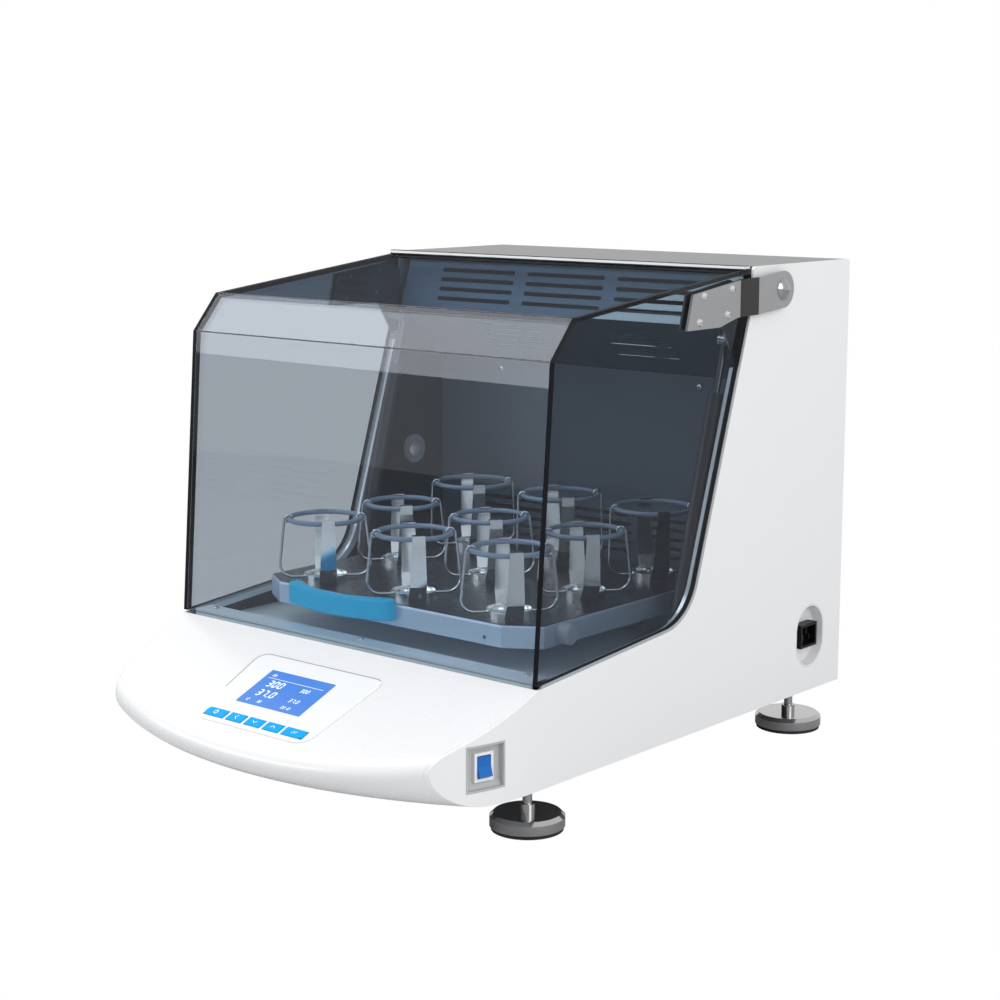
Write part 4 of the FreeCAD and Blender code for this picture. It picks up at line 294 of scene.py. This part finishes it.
TRAY_TOP = 200 * MM
# Depth of the tray's top band that carries the painted dark reflection
TRAY_PAINTED_REFLECTION_DEPTH = 0.5 * MM
# Band along Y of the arms' painted dark reflection
ARM_PAINTED_REFLECTION_BAND = (143 * MM, 166 * MM)
# Height band of the rail's painted highlight line
RAIL_PAINTED_HIGHLIGHT = (557 * MM, 559.8 * MM)
PAD_TOP = 4.05 * MM
MATERIALS = {
    "white paint": finish_surface("white paint", (0.85, 0.85, 0.85), 0.38, bump=0.015, grain=900),
    "white moulding": finish_surface("white moulding", (0.84, 0.84, 0.84), 0.26, coat=0.2),
    "grey paint": finish_surface("grey paint", (0.095, 0.096, 0.10), 0.36, bump=0.05),
    "arm with painted reflection": arm_surface("arm with painted reflection", *ARM_PAINTED_REFLECTION_BAND),
    "overlay film": finish_surface("overlay film", (0.86, 0.87, 0.87), 0.3),
    "key film": finish_surface("key film", (0.001, 0.38, 0.82), 0.4, specular=0.12),
    "display": screen_surface("display"),
    "galvanised": finish_surface("galvanised", (0.45, 0.46, 0.47), 0.45, metallic=0.8,
                                 grain=60, vary=0.12),
    "chamber steel": finish_surface("chamber steel", (0.12, 0.155, 0.205), 0.4,
                                    metallic=0.15, specular=0.3, grain=900,
                                    stretch=(1, 1, 30), vary=0.02),
    "floor steel": finish_surface("floor steel", (0.85, 0.96, 1.0), 0.36, metallic=0.3,
                                  grain=400, stretch=(1, 25, 1), bump=0.03),
    # Chamber liners: the near-black colour is painted dark reflection of their steel
    "liner with painted reflection": finish_surface("liner with painted reflection", (0.03, 0.037, 0.046), 0.45, specular=0.2,
                                  grain=400, stretch=(1, 1, 30), vary=0.02),
    "vent steel": finish_surface("vent steel", (0.70, 0.90, 1.0), 0.38, metallic=0.1,
                                 grain=400, stretch=(1, 25, 1)),
    "polished": finish_surface("polished", (0.60, 0.62, 0.65), 0.10, metallic=1.0, vary=0.03),
    "chrome": finish_surface("chrome", (0.60, 0.65, 0.70), 0.12, metallic=1.0, vary=0.04),
    "strap steel": finish_surface("strap steel", (0.97, 1.0, 1.0), 0.15, metallic=1.0, vary=0.03),
    "black rubber": finish_surface("black rubber", (0.012, 0.012, 0.013), 0.6, bump=0.1),
    "black plastic": finish_surface("black plastic", (0.004, 0.004, 0.005), 0.4, specular=0.2),
    "seal grey": finish_surface("seal grey", (0.45, 0.50, 0.56), 0.4),
    # Thin dark lines on the hood sheet's bends: painted shade
    "crease": finish_surface("crease", (0.05, 0.052, 0.056), 0.25),
    "trim bright": finish_surface("trim bright", (0.88, 0.95, 1.0), 0.2, metallic=0.35, vary=0.03),
    "rail with painted highlight": rail_surface("rail with painted highlight", *RAIL_PAINTED_HIGHLIGHT),
    "port grey": finish_surface("port grey", (0.30, 0.33, 0.37), 0.4),
    "recess plastic": finish_surface("recess plastic", (0.50, 0.50, 0.51), 0.4),
    "bezel plastic": finish_surface("bezel plastic", (0.88, 0.88, 0.88), 0.3),
    "rocker blue": finish_surface("rocker blue", (0.012, 0.15, 0.50), 0.4, specular=0.2),
    "handle blue": finish_surface("handle blue", (0.0, 0.62, 1.0), 0.34, specular=0.15),
    "sleeve": finish_surface("sleeve", (0.25, 0.34, 0.46), 0.35),
    "strut black": finish_surface("strut black", (0.05, 0.05, 0.055), 0.35, vary=0.02),
    "dark chrome": finish_surface("dark chrome", (0.34, 0.34, 0.36), 0.14, metallic=1.0, vary=0.03),
    "strut rod": finish_surface("strut rod", (0.16, 0.17, 0.19), 0.12, metallic=1.0),
    "machined": finish_surface("machined", (0.55, 0.56, 0.58), 0.3, metallic=1.0,
                               grain=300, stretch=(1, 1, 20)),
    "motor case": finish_surface("motor case", (0.05, 0.052, 0.056), 0.4, bump=0.1),
    # Screw crosses: painted recess shade
    "painted recess shade": finish_surface("painted recess shade", (0.02, 0.02, 0.022), 0.5),
    # Painted shadow line along the overlay's raised edge
    "painted edge shadow": finish_surface("painted edge shadow", (0.33, 0.34, 0.34), 0.4),
    # Glowing print: the display's backlit digits, and painted glow on the key symbols
    "glowing print": glowing("glowing print", (0.85, 0.93, 1.0), 0.255),
    "knob grey": finish_surface("knob grey", (0.44, 0.51, 0.58), 0.35),
    "side acrylic": acrylic("side acrylic", (0.68, 0.70, 0.72), True),
    "front acrylic": acrylic("front acrylic", (0.82, 0.845, 0.87), False),
    "tray metal": tray_surface("tray metal", TRAY_TOP - TRAY_PAINTED_REFLECTION_DEPTH),
    "foot metal": foot_surface("foot metal", PAD_TOP),
}

NODE_MATERIALS = {
    "white paint": ["side_panel_right", "side_panel_left", "rear_panel"],
    "white moulding": ["front_bumper", "inlet_recess"],
    "grey paint": ["top_cover"],
    "arm with painted reflection": ["hood_arms"],
    "overlay film": ["control_overlay"],
    "key film": ["key_start", "key_left", "key_down", "key_up", "key_set"],
    "display": ["display_screen"],
    "galvanised": ["base_pan"],
    "chamber steel": ["chamber_rear_wall", "soffit_panel"],
    "floor steel": ["chamber_floor"],
    "liner with painted reflection": ["chamber_liners"],
    "vent steel": ["vent_panel"],
    "trim bright": ["window_trims"],
    "polished": ["foot_nuts", "strut_pins", "strut_studs", "hood_screws"],
    "chrome": ["clamp_wires"],
    "strap steel": ["clamp_straps"],
    "black rubber": ["drive_belt"],
    "seal grey": ["hood_seals"],
    "rail with painted highlight": ["hood_rail"],
    "black plastic": ["inlet_socket"],
    "port grey": ["access_port"],
    "recess plastic": ["switch_recess"],
    "bezel plastic": ["switch_bezel"],
    "rocker blue": ["power_rocker"],
    "handle blue": ["platform_handle"],
    "sleeve": ["clamp_rings"],
    "strut black": ["strut_body_right", "strut_body_left"],
    "strut rod": ["strut_rod_right", "strut_rod_left", "hood_clamp_plates"],
    "dark chrome": ["hinge_pivots"],
    "machined": ["bearing_housings", "drive_crank", "idler_crank_right", "idler_crank_left",
                 "drive_pulley", "motor_pulley", "fan_wheel"],
    "motor case": ["drive_motor", "fan_motor"],
    "knob grey": ["platform_knob"],
    "side acrylic": ["hood_side_panes"],
    "front acrylic": ["hood_front_sheet"],
    "tray metal": ["platform_tray"],
    "foot metal": ["foot_front_right", "foot_front_left", "foot_rear_right", "foot_rear_left"],
}
for key, names in NODE_MATERIALS.items():
    for name in names:
        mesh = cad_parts[name].data
        mesh.materials.clear()
        mesh.materials.append(MATERIALS[key])


# Visual pieces, each riding on the body that carries it
def mesh_piece(name, points, faces, body, key, smooth=False):
    """A mesh in world metres that rides on its body."""
    mesh = bpy.data.meshes.new(name)
    mesh.from_pydata([tuple(point) for point in points], [], faces)
    mesh.materials.append(MATERIALS[key])
    for polygon in mesh.polygons:
        polygon.use_smooth = smooth
    mesh.validate()
    item = bpy.data.objects.new(name, mesh)
    bpy.context.scene.collection.objects.link(item)
    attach(item, body)


def lathe(name, profile, place, body, key, steps=24):
    """Turn a profile of (radius, height) about its own Z, then set it in its place."""
    points, faces = [], []
    for radius, height in profile:
        for step in range(steps):
            angle = math.tau * step / steps
            points.append(place @ Vector((radius * math.cos(angle), radius * math.sin(angle),
                                          height)))
    for ring in range(len(profile) - 1):
        for step in range(steps):
            after = (step + 1) % steps
            faces.append((ring * steps + step, ring * steps + after,
                          (ring + 1) * steps + after, (ring + 1) * steps + step))
    faces.append(tuple(reversed(range(steps))))
    last = (len(profile) - 1) * steps
    faces.append(tuple(range(last, last + steps)))
    mesh_piece(name, points, faces, body, key, smooth=True)


def prism(name, outline, low, high, place, body, key):
    """A flat plate from an outline in its own XY plane."""
    count = len(outline)
    points = [place @ Vector((u, v, low)) for u, v in outline]
    points += [place @ Vector((u, v, high)) for u, v in outline]
    faces = [tuple(reversed(range(count))), tuple(range(count, count * 2))]
    for step in range(count):
        after = (step + 1) % count
        faces.append((step, after, after + count, step + count))
    mesh_piece(name, points, faces, body, key)


def looking(spot, way):
    """A frame at the spot whose own Z points the way."""
    return Matrix.Translation(spot) @ Vector(way).to_track_quat("Z", "Y").to_matrix().to_4x4()


SCREW_HEAD = 3.6 * MM
SCREW_RISE = 1.9 * MM
SEAT = 0.05 * MM
DOME = ((0.96, 0), (1.0, 0.15), (0.97, 0.45), (0.82, 0.78), (0.55, 0.95), (0.2, 1.0))
CROSS_ARM, CROSS_HALF_WIDTH = 0.5, 0.1
CROSS_DEPTH, CROSS_PROUD, CROSS_STEP = 0.2, 0.03, 0.01


def domed_screw(name, spot, way, body, scale=1.0, key="polished"):
    """A pan-head screw with a dark cross in its crown, painted shade of its cross recess."""
    head = SCREW_HEAD * scale
    rise = SCREW_RISE * scale
    place = looking(spot, way)
    lathe(name, [(head * share, rise * high + SEAT) for share, high in DOME], place, body, key)
    # The dark cross is painted shade standing in for the screw's recess
    arm, half = head * CROSS_ARM, head * CROSS_HALF_WIDTH
    top = rise + SEAT
    for turn in (0, 1):
        spin = place @ Matrix.Rotation(math.pi / 2 * turn, 4, "Z")
        outline = [(-arm, -half), (arm, -half), (arm, half), (-arm, half)]
        prism("%s_cross_%d" % (name, turn + 1), outline, top - rise * CROSS_DEPTH,
              top + rise * (CROSS_PROUD + CROSS_STEP * turn), spin, body, "painted recess shade")


# Screws of the ledge, the rear wall and the clamps
LEDGE_INSET_Y, LEDGE_INSET_X = 15.5 * MM, 18 * MM
WALL_SCREW_X, WALL_SCREW_DROP, WALL_SCREW_SCALE = 151 * MM, 12 * MM, 1.2
floor_low, floor_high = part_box("chamber_floor")
wall_low, wall_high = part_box("chamber_rear_wall")
LEDGE_SCREW_Y = floor_low.y + LEDGE_INSET_Y
LEDGE_SCREW_X = floor_high.x - LEDGE_INSET_X
for index, x in enumerate((-LEDGE_SCREW_X, 0, LEDGE_SCREW_X)):
    domed_screw("ledge_screw_%d" % (index + 1), (x, LEDGE_SCREW_Y, floor_high.z), (0, 0, 1),
                "cabinet")
for index, side in enumerate((-1, 1)):
    domed_screw("wall_screw_%d" % (index + 1),
                (WALL_SCREW_X * side, wall_low.y, wall_high.z - WALL_SCREW_DROP),
                (0, -1, 0), "cabinet", WALL_SCREW_SCALE)

CLAMP_PITCH_X = 138 * MM
CLAMP_PITCH_Y = 128 * MM
CLAMP_TURN = math.radians(-40)
STRAP_THICK = 1.4 * MM
CLAMP_SCREW_OUT = 18 * MM
CLAMP_SCREW_SCALE = 0.9
CLAMP_SHIFT_Y = 2.67 * MM
ring_low, ring_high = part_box("clamp_rings")
tray_low, tray_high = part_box("platform_tray")
tray_middle_y = (tray_low.y + tray_high.y) / 2
CLAMP_ROW_Y = tray_middle_y + CLAMP_SHIFT_Y
for row in (-1, 0, 1):
    for column in (-1, 0, 1):
        for side in (-1, 1):
            x = CLAMP_PITCH_X * column + CLAMP_SCREW_OUT * side * math.cos(CLAMP_TURN)
            y = CLAMP_ROW_Y + CLAMP_PITCH_Y * row + CLAMP_SCREW_OUT * side * math.sin(CLAMP_TURN)
            domed_screw("clamp_screw_%d_%d_%s" % (row + 2, column + 2, "ab"[(side + 1) // 2]),
                        (x, y, TRAY_TOP + STRAP_THICK), (0, 0, 1), "platform", CLAMP_SCREW_SCALE)

HOOK_TUBE = 1.3 * MM
HOOK_RADIUS = 4.4 * MM
HOOK_START, HOOK_SWEEP = -70, 320
HOOK_STEPS, HOOK_AROUND = 14, 8
REAR_RING, OTHER_RING = (45 * MM, 79 * MM), (41 * MM, 70 * MM)


def hook(name, ring_radius, high, centre, side):
    """The turned end of a clamp wire, wrapped round the sleeved ring."""
    way = CLAMP_TURN + math.pi / 2 * side
    outward = Vector((math.cos(way), math.sin(way), 0))
    middle = Vector(centre) + outward * ring_radius + Vector((0, 0, high))
    points, faces = [], []
    steps, around = HOOK_STEPS, HOOK_AROUND
    for step in range(steps + 1):
        turn = math.radians(HOOK_START + HOOK_SWEEP * step / steps)
        spoke = outward * math.cos(turn) + Vector((0, 0, 1)) * math.sin(turn)
        for index in range(around):
            angle = math.tau * index / around
            sideways = outward.cross(Vector((0, 0, 1))) * math.sin(angle)
            points.append(middle + spoke * (HOOK_RADIUS + HOOK_TUBE * math.cos(angle))
                          + sideways * HOOK_TUBE)
    for step in range(steps):
        for index in range(around):
            after = (index + 1) % around
            faces.append((step * around + index, step * around + after,
                          (step + 1) * around + after, (step + 1) * around + index))
    faces.append(tuple(reversed(range(around))))
    faces.append(tuple(range(steps * around, (steps + 1) * around)))
    mesh_piece(name, points, faces, "platform", "chrome", smooth=True)


for row in (-1, 0, 1):
    ring_radius, high = REAR_RING if row == 1 else OTHER_RING
    for column in (-1, 0, 1):
        spot = (CLAMP_PITCH_X * column, CLAMP_ROW_Y + CLAMP_PITCH_Y * row, TRAY_TOP)
        for side in (-1, 1):
            hook("clamp_hook_%d_%d_%s" % (row + 2, column + 2, "ab"[(side + 1) // 2]),
                 ring_radius, high, spot, side)

# The two bends of the hood's sheet show as thin dark lines on its outer face; the lines are painted
# shade laid on the clear sheet
sheet_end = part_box("hood_front_sheet")[1].x
CREASE_HALF, CREASE_INSET = 0.8 * MM, 1 * MM
CREASES = (("hood_crease_low", -171 * MM, 482 * MM, (-0.9, 0.44)),
           ("hood_crease_top", -136 * MM, 523 * MM, (-0.42, 0.9)))
for name, y, z, (out_y, out_z) in CREASES:
    middle = Vector((0, y + out_y * SEAT, z + out_z * SEAT))
    along = Vector((0, out_z, -out_y)) * CREASE_HALF
    corners = [middle + Vector((side * (sheet_end - CREASE_INSET), 0, 0)) + along * half
               for side, half in ((-1, -1), (1, -1), (1, 1), (-1, 1))]
    mesh_piece(name, corners, [(0, 1, 2, 3)], "hood", "crease")

# Control deck: its own frame has Y up the slope and Z out of it
DECK_SPOT, DECK_SLOPE = (0, -196 * MM, 160 * MM), 22
DECK = Matrix.Translation(DECK_SPOT) @ Matrix.Rotation(math.radians(DECK_SLOPE), 4, "X")
OVERLAY_FACE = 1.2 * MM
SCREEN_FACE = 2.0 * MM
KEY_FACE = 2.4 * MM
MARK_LIFT = 0.06 * MM


def arc_points(centre, radius, start, finish, steps=10):
    """Points along an arc, its ends in degrees."""
    return [(centre[0] + radius * math.cos(math.radians(start + (finish - start) * k / steps)),
             centre[1] + radius * math.sin(math.radians(start + (finish - start) * k / steps)))
            for k in range(steps + 1)]


def print_and_shadow_line(name, path, width, face, body, key, place=DECK):
    """A thin line along an open path on the deck, for print and for the overlay's painted edge
    shadow.
    """
    left, right = [], []
    for step, (u, v) in enumerate(path):
        before = path[max(step - 1, 0)]
        after = path[min(step + 1, len(path) - 1)]
        run, rise = after[0] - before[0], after[1] - before[1]
        long = math.hypot(run, rise) or 1
        side = (-rise / long * width / 2, run / long * width / 2)
        left.append((u + side[0], v + side[1]))
        right.append((u - side[0], v - side[1]))
    points = [place @ Vector((u, v, face + MARK_LIFT)) for u, v in left + right]
    count = len(path)
    faces = [(step, step + 1, count + step + 1, count + step) for step in range(count - 1)]
    mesh_piece(name, points, faces, body, key)


# Painted shadow line along the overlay film's raised edge: down part of the left side, round the
# top-left corner, along the top and a little round the top-right corner
overlay_top_half = 93 * MM
overlay_foot_half = 83 * MM
overlay_up, overlay_down = -37 * MM, -157 * MM
inset = 1.2 * MM
side_share = 0.55
turn_radius = 13 * MM
EDGE_SHADOW_WIDTH, EDGE_SHADOW_END = 1.5 * MM, 60
edge_shadow = [(-overlay_top_half + inset + (overlay_top_half - overlay_foot_half) * side_share,
           overlay_up + (overlay_down - overlay_up) * side_share)]
edge_shadow += arc_points((-overlay_top_half + inset + turn_radius, overlay_up - inset - turn_radius),
                     turn_radius, 180, 90)
edge_shadow += arc_points((overlay_top_half - inset - turn_radius, overlay_up - inset - turn_radius),
                     turn_radius, 90, EDGE_SHADOW_END)
print_and_shadow_line("overlay_edge_shadow", edge_shadow, EDGE_SHADOW_WIDTH, OVERLAY_FACE, "cabinet", "painted edge shadow")

# Display digits, up to seven plain strokes each
STROKES = {"0": "abcdef", "1": "bc", "2": "abged", "3": "abgcd", "4": "fgbc", "5": "afgcd",
           "6": "afgedc", "7": "abc", "8": "abcdefg", "9": "abcdfg"}
SLANT = 0.14
DIGIT_WIDE, DIGIT_THICK, DIGIT_STEP, POINT_STEP = 0.58, 0.16, 1.28, 1.8


def stroke_outline(kind, wide, tall, thick):
    """One pointed stroke between two of a digit's six joints, leaning a little."""
    left, right = thick / 2, wide - thick / 2
    low, middle, top = thick / 2, tall / 2, tall - thick / 2
    start, end = {"a": ((left, top), (right, top)), "b": ((right, middle), (right, top)),
                  "c": ((right, low), (right, middle)), "d": ((left, low), (right, low)),
                  "e": ((left, low), (left, middle)), "f": ((left, middle), (left, top)),
                  "g": ((left, middle), (right, middle))}[kind]
    half = thick / 2
    flat = start[1] == end[1]
    sides = []
    for (u, v), forward, edge in ((start, 0, 0), (start, half, half), (end, -half, half),
                                  (end, 0, 0), (end, -half, -half), (start, half, -half)):
        sides.append((u + forward, v + edge) if flat else (u - edge, v + forward))
    return [(u + v * SLANT, v) for u, v in sides]


def number(name, text, u, v, tall):
    """A number on the display, lower left corner at (u, v)."""
    wide, thick = tall * DIGIT_WIDE, tall * DIGIT_THICK
    points, faces = [], []
    across = u
    for digit in text:
        if digit == ".":
            outlines = [[(0, 0), (thick, 0), (thick, thick), (0, thick)]]
            step = thick * POINT_STEP
        else:
            outlines = [stroke_outline(kind, wide, tall, thick) for kind in STROKES[digit]]
            step = wide * DIGIT_STEP
        for outline in outlines:
            first = len(points)
            points += [DECK @ Vector((across + a, v + b, SCREEN_FACE + MARK_LIFT)) for a, b in outline]
            faces.append(tuple(range(first, first + len(outline))))
        across += step
    mesh_piece(name, points, faces, "cabinet", "glowing print")


SCREEN_LEFT, SCREEN_TOP = -53 * MM, -62 * MM
for name, text, u, v, tall in (
    ("speed_number", "300", 13, -27, 11), ("warmth_number", "37.0", 13, -43.5, 11),
    ("speed_set_number", "300", 62, -24, 6), ("warmth_set_number", "37.0", 62, -42, 6),
    ("clock_number", "0010", 62, -54, 4.5), ("top_number", "08", 8, -10, 4),
    ("low_number", "12", 8, -54, 4.5), ("low_number_two", "30", 26, -54, 4.5),
):
    number(name, text, SCREEN_LEFT + u * MM, SCREEN_TOP + v * MM, tall * MM)
RULE_FROM, RULE_TO, RULE_DROP, RULE_WIDTH = 6 * MM, 88 * MM, 13 * MM, 0.6 * MM
print_and_shadow_line("screen_rule", [(SCREEN_LEFT + RULE_FROM, SCREEN_TOP - RULE_DROP),
                             (SCREEN_LEFT + RULE_TO, SCREEN_TOP - RULE_DROP)],
             RULE_WIDTH, SCREEN_FACE, "cabinet", "glowing print")

# Key symbols: plain strokes on each key's own centre; their glow is painted light
KEY_MIDDLE_V = -144.25 * MM
SYMBOL_WIDTH = 0.8 * MM
KEY_SYMBOLS = {
    "key_start": (-58.5, [arc_points((0, 0), 2.6, 120, 420), [(0, 0.6), (0, 3.6)]]),
    "key_left": (-27.5, [[(1.6, 2.8), (-1.6, 0), (1.6, -2.8)]]),
    "key_down": (0, [[(-3, 1.4), (0, -1.6), (3, 1.4)]]),
    "key_up": (27.5, [[(-3, -1.4), (0, 1.6), (3, -1.4)]]),
    "key_set": (58.5, [[(-3, -2), (-1, 2), (1, -2), (3, 2)]]),
}
for key_name, (middle, paths) in KEY_SYMBOLS.items():
    for index, path in enumerate(paths):
        spread = [((middle + u) * MM, KEY_MIDDLE_V + v * MM) for u, v in path]
        print_and_shadow_line("%s_symbol_%d" % (key_name, index + 1), spread, SYMBOL_WIDTH, KEY_FACE,
                     key_name, "glowing print")


# Camera, fitted to the photograph: it looks down by its pitch, turned by its heading
CAMERA_SPOT, CAMERA_LENS = (1.4956, -1.6931, 0.6910), 73.14
CAMERA_PITCH, CAMERA_HEADING = 9.96, 40.54
camera_data = bpy.data.cameras.new("camera")
camera_data.lens = CAMERA_LENS
camera_data.sensor_width = 36.0
camera = bpy.data.objects.new("camera", camera_data)
bpy.context.scene.collection.objects.link(camera)
camera.location = CAMERA_SPOT
camera.rotation_euler = (math.radians(90 - CAMERA_PITCH), 0, math.radians(CAMERA_HEADING))
camera_data.clip_start = 0.05
camera_data.clip_end = 50
bpy.context.scene.camera = camera


# Studio
def area_light(name, spot, target, width, height, power, gloss_only):
    """A softbox. One for gloss only shows in shiny surfaces and adds no diffuse light."""
    data = bpy.data.lights.new(name, "AREA")
    data.shape = "RECTANGLE"
    data.size = width
    data.size_y = height
    data.energy = power
    light = bpy.data.objects.new(name, data)
    bpy.context.scene.collection.objects.link(light)
    light.location = spot
    aim = Vector(target) - Vector(spot)
    light.rotation_mode = "QUATERNION"
    light.rotation_quaternion = aim.to_track_quat("-Z", "Y")
    light.visible_diffuse = not gloss_only


def seen_rays(tree):
    """1 for the rays that show the backdrop: camera, glossy and transmission rays."""
    paths = add_node(tree, "ShaderNodeLightPath")
    seen = paths.outputs["Is Camera Ray"]
    for kind in ("Is Glossy Ray", "Is Transmission Ray"):
        either = add_node(tree, "ShaderNodeMath", operation="MAXIMUM")
        tree.links.new(seen, either.inputs[0])
        tree.links.new(paths.outputs[kind], either.inputs[1])
        seen = either.outputs[0]
    return seen


WORLD_LIGHT = 0.75
STAGE_SIZE = 12
# Name, spot, target, width, height, watts, and whether it is for gloss only
SOFTBOXES = (
    ("front softbox", (-0.6, -1.4, 3.2), (0, 0, 0.2), 2.2, 1.8, 22, False),
    ("strip softbox", (-3.5, -3.8, 1.02), (0, -0.1, 0.3), 4.0, 1.11, 50, True),
    ("right softbox", (3.0, -0.4, 1.6), (0, 0, 0.3), 1.8, 1.8, 29, False),
    ("top softbox", (-1.75, -0.95, 2.7), (0, 0, 0.3), 1.5, 1.5, 34, False),
)


def studio():
    """World and floor that the camera sees as white, and the softboxes."""
    world = bpy.data.worlds.new("studio")
    bpy.context.scene.world = world
    world.use_nodes = True
    tree = world.node_tree
    tree.nodes.clear()
    output = tree.nodes.new("ShaderNodeOutputWorld")
    seen = tree.nodes.new("ShaderNodeBackground")
    seen.inputs["Color"].default_value = (1, 1, 1, 1)
    seen.inputs["Strength"].default_value = 1.0
    lit = tree.nodes.new("ShaderNodeBackground")
    lit.inputs["Color"].default_value = (0.95, 0.97, 1.0, 1)
    lit.inputs["Strength"].default_value = WORLD_LIGHT
    tree.links.new(mix_shaders(tree, seen_rays(tree), lit.outputs[0], seen.outputs[0]),
                   output.inputs["Surface"])

    material, tree, output = new_material("pale floor")
    glow = add_node(tree, "ShaderNodeEmission")
    glow.inputs["Color"].default_value = (1, 1, 1, 1)
    pale = principled(tree, (0.6, 0.6, 0.605), 0.8)
    paths = add_node(tree, "ShaderNodeLightPath")
    tree.links.new(mix_shaders(tree, paths.outputs["Is Camera Ray"], pale.outputs[0],
                               glow.outputs[0]), output.inputs["Surface"])
    bpy.ops.mesh.primitive_plane_add(size=STAGE_SIZE, location=(0, 0, 0))
    floor = bpy.context.active_object
    floor.name = "floor"
    floor.data.materials.append(material)
    for softbox in SOFTBOXES:
        area_light(*softbox)


studio()
scene_view = bpy.context.scene.view_settings
scene_view.view_transform = "Standard"
